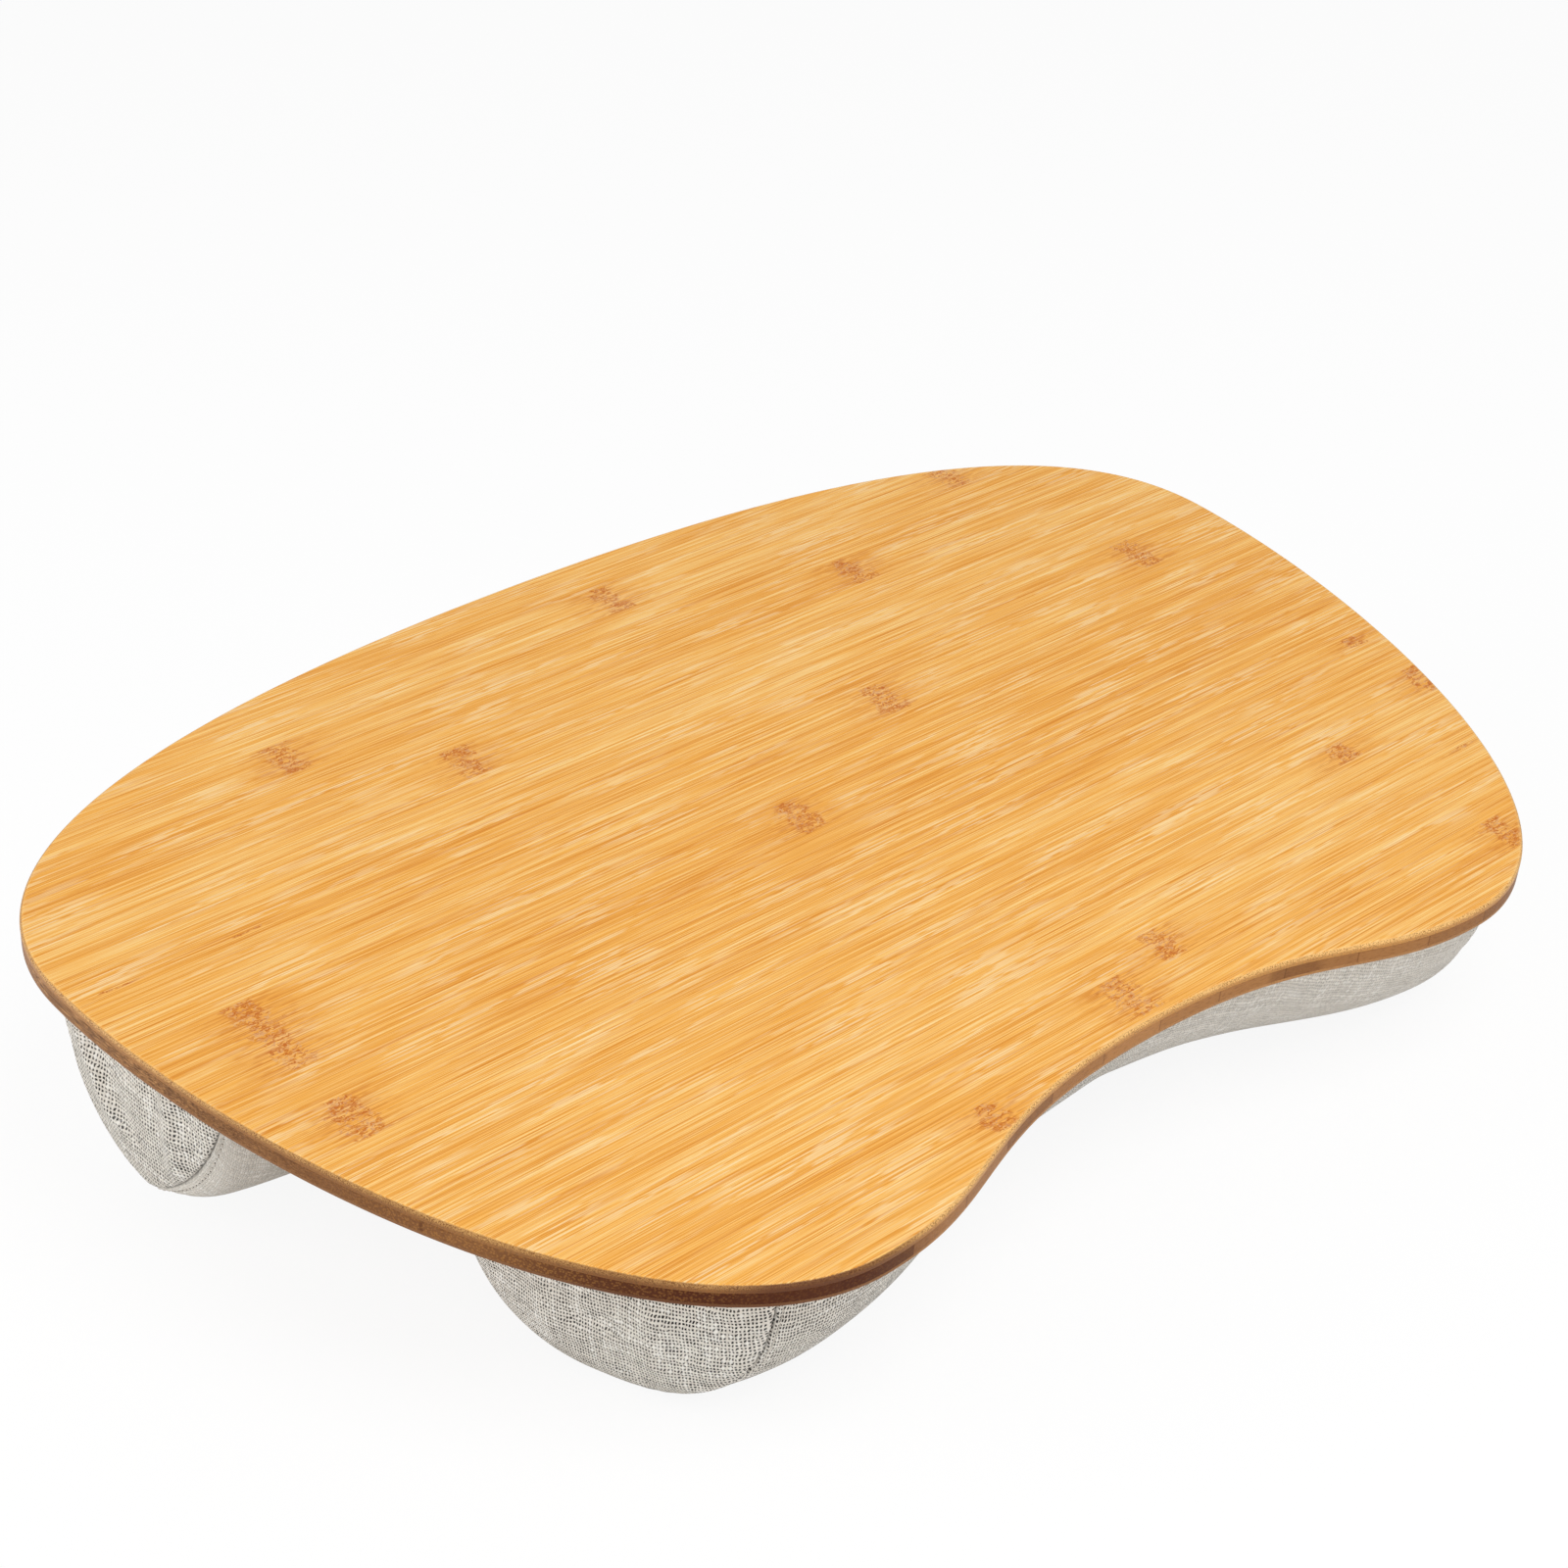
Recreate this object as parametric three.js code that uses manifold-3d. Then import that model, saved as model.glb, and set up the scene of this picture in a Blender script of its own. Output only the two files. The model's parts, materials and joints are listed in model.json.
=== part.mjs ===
// Lap desk: a bean-shaped board of three bamboo plies, carried on two stuffed cloth bolsters.
// Millimetres. +X is the sitter's right, +Y points away from the sitter and +Z is up.
import * as THREE from 'three';
import { mergeVertices } from 'three/addons/utils/BufferGeometryUtils.js';
import Module from 'manifold-3d';

const wasm = await Module();
wasm.setup();

// Board outline, between its outermost points
const boardWidth = 571;
const boardDepth = 385;
const lobeSpacing = 296; // between the tips of the two front lobes
const cutoutDepth = 29; // from the lobe tips back to the middle of the waist cut-out
const widestFromFront = 265; // from the lobe tips back to the widest line

// Roundness of the outline: the share of each stretch over which it keeps to its end tangent
const cutoutRoundness = 0.58;
const lobeInnerRoundness = 0.37;
const lobeOuterRoundness = 0.6;
const sideFrontRoundness = 0.4;
const sideRearRoundness = 0.79;
const rearRoundness = 0.51;

// Plies from the bottom up, the glue between and below them, and the eased edges
const backPly = 1.4;
const corePly = 4.4;
const facePly = 2.8;
const glueLine = 0.2;
const topRound = 1.5;
const bottomEase = 0.6;

// Cloth, sewing and stuffing
const clothThickness = 1.2;
const baseThickness = 1;
const seamGap = 0.3;
const seamStep = 0.8; // how far the wrap stands proud of an end panel at their seam
const baseClearance = 0.3;
const fillClearance = 0.4;
const restFlat = 0.5; // depth of the flats that the bolsters stand on

// Front bolster: its front edge follows the cut-out and its ends slant like the board's sides
const frontReach = 125; // from the lobe tips back to the channel between the bolsters
const frontEdgeInset = 11.5;
const frontCornerPastLobe = 28.5;
const frontEndInset = 38;
const frontMiddleHeight = 54;
const frontEndHeight = 67.5;
const frontMiddleFullness = 2.4; // exponent of the section: 2 is an ellipse, more is boxier
const frontEndFullness = 2.6;
const frontHeightRamp = 4; // higher keeps the middle height further out
const frontTurnPlace = 0.93; // where the end height is met: 0 is the middle, 1 is a seam
const frontEndBulge = 12;
const frontEndRoundness = 2;

// Rear bolster: its rear edge follows the board's rear edge
const channelWidth = 68;
const rearEdgeInset = 19.5;
const rearCornerInset = 18.5;
const rearEndInset = 12;
const rearMiddleHeight = 90;
const rearEndHeight = 70.5;
const rearMiddleFullness = 2.6;
const rearEndFullness = 2.2;
const rearHeightRamp = 6;
const rearTurnPlace = 1;
const rearEndBulge = 5.5;
const rearEndRoundness = 3;

// Facets
const outlineSteps = 18; // for each of the six stretches of the outline
const edgeSteps = 80; // for reading a place off an edge
const sectionSteps = 18;
const lengthSteps = 22;
const domeSteps = 5;

// Derived places on the board, with the underside at z = 0
const frontY = -boardDepth / 2;
const rearY = boardDepth / 2;
const halfWidth = boardWidth / 2;
const lobeX = lobeSpacing / 2;
const cutoutY = frontY + cutoutDepth;
const widestY = frontY + widestFromFront;
const coreBottom = backPly + glueLine;
const faceBottom = coreBottom + corePly + glueLine;
const boardTop = faceBottom + facePly;
const clothTop = -glueLine;
const fillTop = clothTop - baseThickness - fillClearance;
const channelFrontY = frontY + frontReach;
const channelRearY = channelFrontY + channelWidth;

const flat = (x, y) => new THREE.Vector2(x, y);

// Right half of the outline, from the cut-out's middle round to the rear edge's middle
const cutoutCurve = new THREE.CubicBezierCurve(
  flat(0, cutoutY),
  flat(lobeX * cutoutRoundness, cutoutY),
  flat(lobeX * (1 - lobeInnerRoundness), frontY),
  flat(lobeX, frontY),
);
const sideCurve = new THREE.CubicBezierCurve(
  flat(lobeX, frontY),
  flat(lobeX + (halfWidth - lobeX) * lobeOuterRoundness, frontY),
  flat(halfWidth, widestY - widestFromFront * sideFrontRoundness),
  flat(halfWidth, widestY),
);
const rearCurve = new THREE.CubicBezierCurve(
  flat(halfWidth, widestY),
  flat(halfWidth, widestY + (rearY - widestY) * sideRearRoundness),
  flat(halfWidth * rearRoundness, rearY),
  flat(0, rearY),
);

// The whole outline, anticlockwise, moved in by an inset along its normals
function boardOutline(inset) {
  const stretches = [cutoutCurve, sideCurve, rearCurve];
  const right = stretches.flatMap((stretch) => stretch.getPoints(outlineSteps).slice(0, -1));
  right.push(rearCurve.getPoint(1));
  const left = right.slice(1, -1).reverse().map((p) => flat(-p.x, p.y));
  const loop = [...right, ...left];
  return loop.map((p, i) => {
    const next = loop[(i + 1) % loop.length];
    const last = loop[(i + loop.length - 1) % loop.length];
    const along = next.clone().sub(last).normalize();
    return flat(p.x - along.y * inset, p.y + along.x * inset);
  });
}

// Where an edge, drawn as points, crosses a given x or y
function readEdge(points, known, value, wanted) {
  for (let i = 1; i < points.length; i += 1) {
    const a = points[i - 1];
    const b = points[i];
    const low = Math.min(a[known], b[known]);
    const high = Math.max(a[known], b[known]);
    if (value >= low && value <= high && high > low) {
      const share = (value - a[known]) / (b[known] - a[known]);
      return a[wanted] + (b[wanted] - a[wanted]) * share;
    }
  }
  return points[points.length - 1][wanted];
}

const frontEdgePoints = [...cutoutCurve.getPoints(edgeSteps), ...sideCurve.getPoints(edgeSteps)];
const sideEdgePoints = [...sideCurve.getPoints(edgeSteps), ...rearCurve.getPoints(edgeSteps)];
const rearEdgePoints = rearCurve.getPoints(edgeSteps);
const frontEdgeY = (x) => readEdge(frontEdgePoints, 'x', Math.abs(x), 'y');
const rearEdgeY = (x) => readEdge(rearEdgePoints, 'x', Math.abs(x), 'y');
const sideEdgeX = (y) => readEdge(sideEdgePoints, 'y', y, 'x');

// A closed solid from triangles of points: coincident points are joined and the faces turned outwards
function solidFrom(triangles) {
  const whole = triangles.filter(([a, b, c]) => {
    const area = b.clone().sub(a).cross(c.clone().sub(a)).length();
    return area > 1e-9;
  });
  const volume = whole.reduce((sum, [a, b, c]) => sum + a.dot(b.clone().cross(c)), 0);
  const turned = volume < 0 ? whole.map(([a, b, c]) => [a, c, b]) : whole;
  const positions = turned.flat().flatMap((p) => p.toArray());
  const geometry = new THREE.BufferGeometry();
  geometry.setAttribute('position', new THREE.Float32BufferAttribute(positions, 3));
  return mergeVertices(geometry, 1e-4);
}

// Triangles between two lines of points, and over a grid of points
function band(a, b) {
  const faces = [];
  for (let k = 0; k + 1 < a.length; k += 1) {
    faces.push([a[k], a[k + 1], b[k + 1]]);
    faces.push([a[k], b[k + 1], b[k]]);
  }
  return faces;
}

function sheet(grid) {
  return grid.slice(1).flatMap((row, i) => band(row, grid[i]));
}

const column = (grid, j) => grid.map((row) => row.at(j));

// A thin skin between an outer and an inner grid, closed round its four sides
function skin(outer, inner) {
  const inside = sheet(inner).map(([a, b, c]) => [a, c, b]);
  const sides = [
    ...band(column(inner, 0), column(outer, 0)),
    ...band(column(outer, -1), column(inner, -1)),
    ...band(outer[0], inner[0]),
    ...band(inner.at(-1), outer.at(-1)),
  ];
  return solidFrom([...sheet(outer), ...inside, ...sides]);
}

// A lofted solid from open arcs, whose ends are joined by a flat top
function loft(arcs) {
  return solidFrom([...sheet(arcs), ...band(column(arcs, -1), column(arcs, 0))]);
}

// A flat piece from outlines stacked upwards, closed by a flat face below and above
function slab(layers) {
  const rings = layers.map(({ points, z }) => points.map((p) => new THREE.Vector3(p.x, p.y, z)));
  const closed = rings.map((ring) => [...ring, ring[0]]);
  const walls = sheet(closed);
  const cap = (ring, points) =>
    THREE.ShapeUtils.triangulateShape(points, []).map((face) => face.map((k) => ring[k]));
  const top = cap(rings.at(-1), layers.at(-1).points);
  const bottom = cap(rings[0], layers[0].points).map(([a, b, c]) => [a, c, b]);
  return solidFrom([...walls.map(([a, b, c]) => [a, c, b]), ...top, ...bottom]);
}

// Solids for cutting
function toManifold(geometry) {
  const bare = geometry.clone();
  bare.deleteAttribute('normal');
  bare.deleteAttribute('uv');
  const merged = mergeVertices(bare, 1e-4);
  const vertProperties = new Float32Array(merged.getAttribute('position').array);
  const triVerts = new Uint32Array(merged.getIndex().array);
  return new wasm.Manifold(new wasm.Mesh({ numProp: 3, vertProperties, triVerts }));
}

function cutAway(geometry, tool) {
  const result = toManifold(geometry).subtract(toManifold(tool)).getMesh();
  const cut = new THREE.BufferGeometry();
  cut.setAttribute('position', new THREE.BufferAttribute(new Float32Array(result.vertProperties), 3));
  cut.setIndex(new THREE.BufferAttribute(new Uint32Array(result.triVerts), 1));
  return cut;
}

// Materials
const bambooFace = new THREE.MeshStandardMaterial({ color: 0xe6ac60, roughness: 0.45, metalness: 0 });
const bambooCore = new THREE.MeshStandardMaterial({ color: 0x8f6a45, roughness: 0.6, metalness: 0 });
const bambooBack = new THREE.MeshStandardMaterial({ color: 0xc79a60, roughness: 0.5, metalness: 0 });
const linenCloth = new THREE.MeshStandardMaterial({ color: 0xc8c2b8, roughness: 0.95, metalness: 0 });
const liningCloth = new THREE.MeshStandardMaterial({ color: 0xb5afa5, roughness: 0.95, metalness: 0 });
const fibreFill = new THREE.MeshStandardMaterial({ color: 0xf2f0ec, roughness: 1, metalness: 0 });

const desk = new THREE.Group();

function addPiece(name, geometry, material) {
  geometry.computeVertexNormals();
  const piece = new THREE.Mesh(geometry, material);
  piece.name = name;
  desk.add(piece);
}

// The board: face, core and back plies share one outline
const edge = boardOutline(0);
const layer = (z, inset) => ({ points: inset > 0 ? boardOutline(inset) : edge, z });
const roundShare = (step) => topRound * (1 - Math.cos((step * Math.PI) / 6));
const roundRise = (step) => topRound * Math.sin((step * Math.PI) / 6);
const faceLayers = [0, 1, 2, 3].map((step) =>
  layer(boardTop - topRound + roundRise(step), roundShare(step)));
addPiece('board_face_ply', slab([layer(faceBottom, 0), ...faceLayers]), bambooFace);
addPiece('board_core_ply', slab([layer(coreBottom, 0), layer(coreBottom + corePly, 0)]), bambooCore);
addPiece('board_back_ply', slab([layer(0, bottomEase), layer(bottomEase, 0), layer(backPly, 0)]), bambooBack);

// Bolster forms: place runs from -1 at the left seam to 1 at the right seam
const frontCornerX = lobeX + frontCornerPastLobe;
const frontChannelCornerX = sideEdgeX(channelFrontY) - frontEndInset;
const rearChannelCornerX = sideEdgeX(channelRearY) - rearEndInset;
const rearCornerX = halfWidth - rearCornerInset;

const frontForm = {
  nearEdge: (place) => flat(place * frontCornerX, frontEdgeY(place * frontCornerX) + frontEdgeInset),
  farEdge: (place) => flat(place * frontChannelCornerX, channelFrontY),
  height: [frontMiddleHeight, frontEndHeight, frontHeightRamp, frontTurnPlace],
  fullness: [frontMiddleFullness, frontEndFullness],
  bulge: frontEndBulge,
  roundness: frontEndRoundness,
};
const rearForm = {
  nearEdge: (place) => flat(place * rearChannelCornerX, channelRearY),
  farEdge: (place) => flat(place * rearCornerX, rearEdgeY(place * rearCornerX) - rearEdgeInset),
  height: [rearMiddleHeight, rearEndHeight, rearHeightRamp, rearTurnPlace],
  fullness: [rearMiddleFullness, rearEndFullness],
  bulge: rearEndBulge,
  roundness: rearEndRoundness,
};

// A point of the D-shaped section: the angle runs from the near top edge, underneath, to the far one,
// and depth is the distance in from the cloth's outer face
function sectionPoint(form, place, angle, depth) {
  const near = form.nearEdge(place);
  const far = form.farEdge(place);
  const middle = near.clone().add(far).multiplyScalar(0.5);
  const half = far.clone().sub(near).multiplyScalar(0.5);
  const [middleHeight, endHeight, ramp, turnPlace] = form.height;
  const [middleFullness, endFullness] = form.fullness;
  const ease = 1 - (1 - Math.abs(place / turnPlace) ** ramp) ** 2;
  const height = middleHeight + (endHeight - middleHeight) * ease - depth;
  const power = 2 / (middleFullness + (endFullness - middleFullness) * place ** 4);
  const across = Math.sign(Math.cos(angle)) * Math.abs(Math.cos(angle)) ** power;
  const down = Math.abs(Math.sin(angle)) ** power;
  const reach = (half.length() - depth) / half.length();
  return new THREE.Vector3(
    middle.x - half.x * across * reach,
    middle.y - half.y * across * reach,
    clothTop - height * down,
  );
}

// A point of a domed end: ring is 0 at the crown, in the middle of the top edge, and 1 at the seam
function endPoint(form, side, ring, angle, depth, gap) {
  const near = form.nearEdge(side);
  const far = form.farEdge(side);
  const crown = new THREE.Vector3((near.x + far.x) / 2, (near.y + far.y) / 2, clothTop);
  const outward = new THREE.Vector3(far.y - near.y, near.x - far.x, 0).normalize();
  const swell = Math.max(0, 1 - ring ** form.roundness) ** (1 / form.roundness);
  const rim = sectionPoint(form, side, angle, depth);
  const point = crown.clone().lerp(rim, ring);
  return point.addScaledVector(outward, side * (gap + (form.bulge - depth) * swell));
}

const steps = (count) => Array.from({ length: count + 1 }, (_, k) => k / count);
const angles = steps(sectionSteps).map((share) => share * Math.PI);
// Sections stand closer together towards the seams
const places = steps(lengthSteps).map((share) => Math.sin((share - 0.5) * Math.PI));
const rings = steps(domeSteps).map((share) => Math.sin((share * Math.PI) / 2));

const wrapGrid = (form, depth) =>
  places.map((place) => angles.map((angle) => sectionPoint(form, place, angle, depth)));
const endGrid = (form, side, depth, gap) =>
  rings.map((ring) => angles.map((angle) => endPoint(form, side, ring, angle, depth, gap)));

// The base cloth lies under the board, inside the wrap and the ends
function baseOutline(form) {
  const depth = seamStep + clothThickness + baseClearance;
  const inner = rings.slice(0, -1);
  const near = places.map((place) => sectionPoint(form, place, 0, depth));
  const far = places.map((place) => sectionPoint(form, place, Math.PI, depth));
  const end = (side) => [
    ...inner.slice(1).reverse().map((ring) => endPoint(form, side, ring, 0, depth, 0)),
    ...inner.map((ring) => endPoint(form, side, ring, Math.PI, depth, 0)),
  ];
  const loop = [...near, ...end(1), ...far.reverse(), ...end(-1).reverse()];
  return loop.map((p) => flat(p.x, p.y));
}

// The filling ends flat below the base cloth
function fillArcs(form) {
  const depth = seamStep + clothThickness + fillClearance;
  const left = endGrid(form, -1, depth, 0).slice(0, -1);
  const right = endGrid(form, 1, depth, 0).slice(0, -1).reverse();
  const arcs = [...left, ...wrapGrid(form, depth), ...right];
  return arcs.map((arc) => arc.map((p) => p.setZ(Math.min(p.z, fillTop))));
}

// The desk leans towards the sitter until both bolsters touch the ground
const frontSkin = wrapGrid(frontForm, 0).flat();
const rearSkin = wrapGrid(rearForm, 0).flat();
const heightAt = (p, lean) => p.y * Math.sin(lean) + p.z * Math.cos(lean);
const lowest = (points, lean) => Math.min(...points.map((p) => heightAt(p, lean)));
let leanLow = -Math.PI / 6;
let leanHigh = Math.PI / 6;
for (let turn = 0; turn < 60; turn += 1) {
  const lean = (leanLow + leanHigh) / 2;
  if (lowest(frontSkin, lean) > lowest(rearSkin, lean)) {
    leanLow = lean;
  } else {
    leanHigh = lean;
  }
}
const lean = (leanLow + leanHigh) / 2;
const ground = lowest(frontSkin, lean) + restFlat;

// Everything below the ground, drawn in the board's own tilted frame
const below = new THREE.BoxGeometry(boardWidth * 2, boardDepth * 2, boardDepth);
below.translate(0, 0, ground - boardDepth / 2);
below.rotateX(-lean);

function addBolster(name, form) {
  const wrap = skin(wrapGrid(form, 0), wrapGrid(form, clothThickness));
  addPiece(`${name}_wrap`, cutAway(wrap, below), linenCloth);
  [['left', -1], ['right', 1]].forEach(([hand, side]) => {
    const outer = endGrid(form, side, seamStep, seamGap);
    const inner = endGrid(form, side, seamStep + clothThickness, seamGap);
    addPiece(`${name}_${hand}_end`, skin(outer, inner), linenCloth);
  });
  const base = baseOutline(form);
  const baseLayers = [{ points: base, z: clothTop - baseThickness }, { points: base, z: clothTop }];
  addPiece(`${name}_base`, slab(baseLayers), liningCloth);
  addPiece(`${name}_filling`, loft(fillArcs(form)), fibreFill);
}

addBolster('front_bolster', frontForm);
addBolster('rear_bolster', rearForm);

// Stand the desk on the ground, with the origin under the middle of its box
desk.rotation.x = lean;
desk.position.z = -ground;
desk.updateMatrixWorld(true);
const extent = new THREE.Box3().setFromObject(desk, true);
desk.position.y = -(extent.min.y + extent.max.y) / 2;

const lapDesk = new THREE.Group();
lapDesk.name = 'lap_desk';
lapDesk.add(desk);

export default lapDesk;
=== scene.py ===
import json
import math
import bmesh
import bpy
import numpy as np
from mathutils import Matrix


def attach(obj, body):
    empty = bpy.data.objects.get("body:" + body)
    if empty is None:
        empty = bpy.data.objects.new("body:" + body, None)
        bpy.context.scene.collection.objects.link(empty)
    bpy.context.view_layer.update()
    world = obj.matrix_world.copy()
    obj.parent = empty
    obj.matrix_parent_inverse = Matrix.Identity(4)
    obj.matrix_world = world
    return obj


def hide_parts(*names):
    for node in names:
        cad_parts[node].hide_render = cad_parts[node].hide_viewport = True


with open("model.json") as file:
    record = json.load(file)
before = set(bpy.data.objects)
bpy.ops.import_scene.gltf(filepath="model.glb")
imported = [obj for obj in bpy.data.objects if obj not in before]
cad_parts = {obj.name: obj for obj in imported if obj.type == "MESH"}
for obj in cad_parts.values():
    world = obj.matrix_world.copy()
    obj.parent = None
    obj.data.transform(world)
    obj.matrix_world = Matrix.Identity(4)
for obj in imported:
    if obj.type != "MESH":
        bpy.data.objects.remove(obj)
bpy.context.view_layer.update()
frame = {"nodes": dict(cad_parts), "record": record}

scene = bpy.context.scene
scene.view_settings.view_transform = "Standard"
print("lap desk: frame loaded with", len(frame["nodes"]), "nodes")


def unit(vectors):
    return vectors / np.maximum(np.linalg.norm(vectors, axis=-1, keepdims=True), 1e-9)


# The board leans towards the sitter. Its axis and middle come from the record's work surface.
boardThickness = 9.0
workSurface = next(m for m in frame["record"]["mounts"] if m["name"] == "work_surface")
boardUp = unit(np.array(workSurface["axis"], float))
boardOrigin = np.array(workSurface["pos_m"], float) - boardUp * boardThickness / 1000
lean = math.atan2(-boardUp[1], boardUp[2])
boardTurn = np.array([
    [1, 0, 0],
    [0, math.cos(lean), -math.sin(lean)],
    [0, math.sin(lean), math.cos(lean)],
])


def onDesk(points):
    # board millimetres, turned by the lean and moved to the board's middle, in metres
    return points @ boardTurn.T / 1000 + boardOrigin


def smoothStep(low, high, value):
    # 0 below low, 1 above high, and 3t squared less 2t cubed between them
    t = np.clip((value - low) / (high - low), 0, 1)
    return t * t * (3 - 2 * t)


def partWay(start, end, share):
    return start + (end - start) * share


def runLength(points, axis=0):
    # length run along one axis of a line or grid of points, from 0
    steps = np.linalg.norm(np.diff(points, axis=axis), axis=-1)
    start = np.zeros_like(np.take(steps, [0], axis=axis))
    return np.concatenate([start, np.cumsum(steps, axis=axis)], axis=axis)


def tint(red, green, blue):
    # screen colour 0 to 255 as a linear colour
    c = np.array([red, green, blue]) / 255
    linear = np.where(c <= 0.04045, c / 12.92, ((c + 0.055) / 1.055) ** 2.4)
    return (*linear.tolist(), 1.0)


# Mesh helpers

def meshPiece(name, points, faces, material):
    mesh = bpy.data.meshes.new(name)
    mesh.from_pydata(points, [], faces)
    mesh.materials.append(material)
    mesh.polygons.foreach_set("use_smooth", np.ones(len(mesh.polygons), bool))
    mesh.update()
    piece = bpy.data.objects.new(name, mesh)
    scene.collection.objects.link(piece)
    return piece


def pointValue(piece, name, values):
    layer = piece.data.attributes.new(name, "FLOAT", "POINT")
    layer.data.foreach_set("value", np.asarray(values, np.float32).ravel())


def gridQuads(rows, columns, closed=False):
    # faces between neighbouring rows and columns; a closed grid joins its last column to its first
    wide = columns if closed else columns - 1
    r, c = np.meshgrid(np.arange(rows - 1) * columns, np.arange(wide), indexing="ij")
    d = (c + 1) % columns
    return np.stack([r + c, r + d, r + columns + d, r + columns + c], axis=2).reshape(-1, 4)


def gridNormals(points):
    # cross product of the steps down the section and along the bolster, pointing out of the bolster
    return unit(np.cross(np.gradient(points, axis=1), np.gradient(points, axis=0)))


# Node helpers: those that take no tree find it by the sockets they are given

def setSocket(tree, socket, value):
    if isinstance(value, bpy.types.NodeSocket):
        tree.links.new(value, socket)
    else:
        socket.default_value = value


def treeOf(values):
    return next(value.id_data for value in values if isinstance(value, bpy.types.NodeSocket))


def addNode(tree, kind, options=None, **inputs):
    made = tree.nodes.new(kind)
    for key, value in (options or {}).items():
        setattr(made, key, value)
    for key, value in inputs.items():
        setSocket(tree, made.inputs[key], value)
    return made


def feed(kind, options, *values):
    # a node whose sockets take the values in their order
    tree = treeOf(values)
    made = addNode(tree, kind, options)
    for socket, value in zip(made.inputs, values):
        setSocket(tree, socket, value)
    return made.outputs[0]


def calc(operation, *values):
    return feed("ShaderNodeMath", {"operation": operation}, *values)


def calcVector(operation, *values):
    return feed("ShaderNodeVectorMath", {"operation": operation}, *values)


def product(first, second):
    return calc("MULTIPLY", first, second)


def apart(first, second):
    return calc("ABSOLUTE", calc("SUBTRACT", first, second))


def addCentred(value, share, base):
    # value less a half, times its share, on top of the base
    return calc("MULTIPLY_ADD", calc("SUBTRACT", value, 0.5), share, base)


def remap(value, low, high, outLow=0.0, outHigh=1.0):
    options = {"interpolation_type": "SMOOTHSTEP"}
    return feed("ShaderNodeMapRange", options, value, low, high, outLow, outHigh)


def joinXyz(x, y, z):
    return feed("ShaderNodeCombineXYZ", None, x, y, z)


def splitXyz(vector):
    return addNode(vector.id_data, "ShaderNodeSeparateXYZ", None, Vector=vector).outputs


def blendColor(factor, first, second, mode="MIX"):
    tree = factor.id_data
    made = addNode(tree, "ShaderNodeMix", {"data_type": "RGBA", "blend_type": mode})
    # sockets 6 and 7 are the two colours
    for index, item in ((0, factor), (6, first), (7, second)):
        setSocket(tree, made.inputs[index], item)
    return made.outputs[2]


def noiseOf(vector, scale=1.0, detail=2.0, roughness=0.5, output="Fac"):
    sizes = {"Scale": scale, "Detail": detail, "Roughness": roughness}
    return addNode(vector.id_data, "ShaderNodeTexNoise", None, Vector=vector, **sizes).outputs[output]


def chanceOf(value):
    # a number from 0 to 1 that belongs to the whole value
    made = addNode(value.id_data, "ShaderNodeTexWhiteNoise", {"noise_dimensions": "1D"}, W=value)
    return made.outputs["Value"]


def swayed(place, scale, detail, reach, back):
    # the place moved by noise times the reach, less the way back
    noise = noiseOf(place, scale, detail, output="Color")
    return calcVector("MULTIPLY_ADD", noise, reach, calcVector("SUBTRACT", place, back))


def attributeOf(tree, name):
    return addNode(tree, "ShaderNodeAttribute", {"attribute_name": name}).outputs["Fac"]


def boardMillimetres(tree):
    # Object coordinates turned back by the lean, so x, y and z run along the board in millimetres
    coordinates = addNode(tree, "ShaderNodeTexCoord").outputs["Object"]
    sizes = {
        "Location": (-(boardTurn.T @ boardOrigin) * 1000).tolist(),
        "Rotation": (-lean, 0, 0),
        "Scale": (1000, 1000, 1000),
    }
    return addNode(tree, "ShaderNodeMapping", None, Vector=coordinates, **sizes).outputs[0]


def newGroup(name, inputs, outputs):
    tree = bpy.data.node_groups.new(name, "ShaderNodeTree")
    for direction, sockets in (("INPUT", inputs), ("OUTPUT", outputs)):
        for socketName, kind in sockets.items():
            tree.interface.new_socket(socketName, in_out=direction, socket_type="NodeSocket" + kind)
    return tree, tree.nodes.new("NodeGroupInput").outputs


def finishGroup(group, **values):
    out = group.nodes.new("NodeGroupOutput")
    for key, value in values.items():
        setSocket(group, out.inputs[key], value)
    return group


def useGroup(group, **inputs):
    return addNode(treeOf(inputs.values()), "ShaderNodeGroup", {"node_tree": group}, **inputs).outputs


def newMaterial(name):
    made = bpy.data.materials.new(name)
    made.use_nodes = True
    tree = made.node_tree
    return made, tree, tree.nodes["Principled BSDF"]


def finishSurface(shader, finish, color, height, **linked):
    # the finish's plain values, its colour, and a bump with a strength and a depth in metres
    tree = shader.id_data
    strength, depth = finish["bump"]
    bump = addNode(tree, "ShaderNodeBump", None, Height=height, Strength=strength, Distance=depth)
    inputs = {**finish["surface"], **linked, "Base Color": color, "Normal": bump.outputs[0]}
    for key, value in inputs.items():
        setSocket(tree, shader.inputs[key], value)


# Camera at the photograph's viewing angle

view = {
    "place": (-0.6232, -0.697797, 0.636429),
    "turn": (59.96786, 0.67725, -41.09754),
    "lens": 66.296,
    "sensor": 36,
}
camera = bpy.data.objects.new("camera", bpy.data.cameras.new("camera"))
camera.location = view["place"]
camera.rotation_euler = [math.radians(a) for a in view["turn"]]
camera.data.lens = view["lens"]
camera.data.sensor_width = view["sensor"]
scene.collection.objects.link(camera)
scene.camera = camera
print("lap desk: camera placed")


# Bamboo finishes

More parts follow.
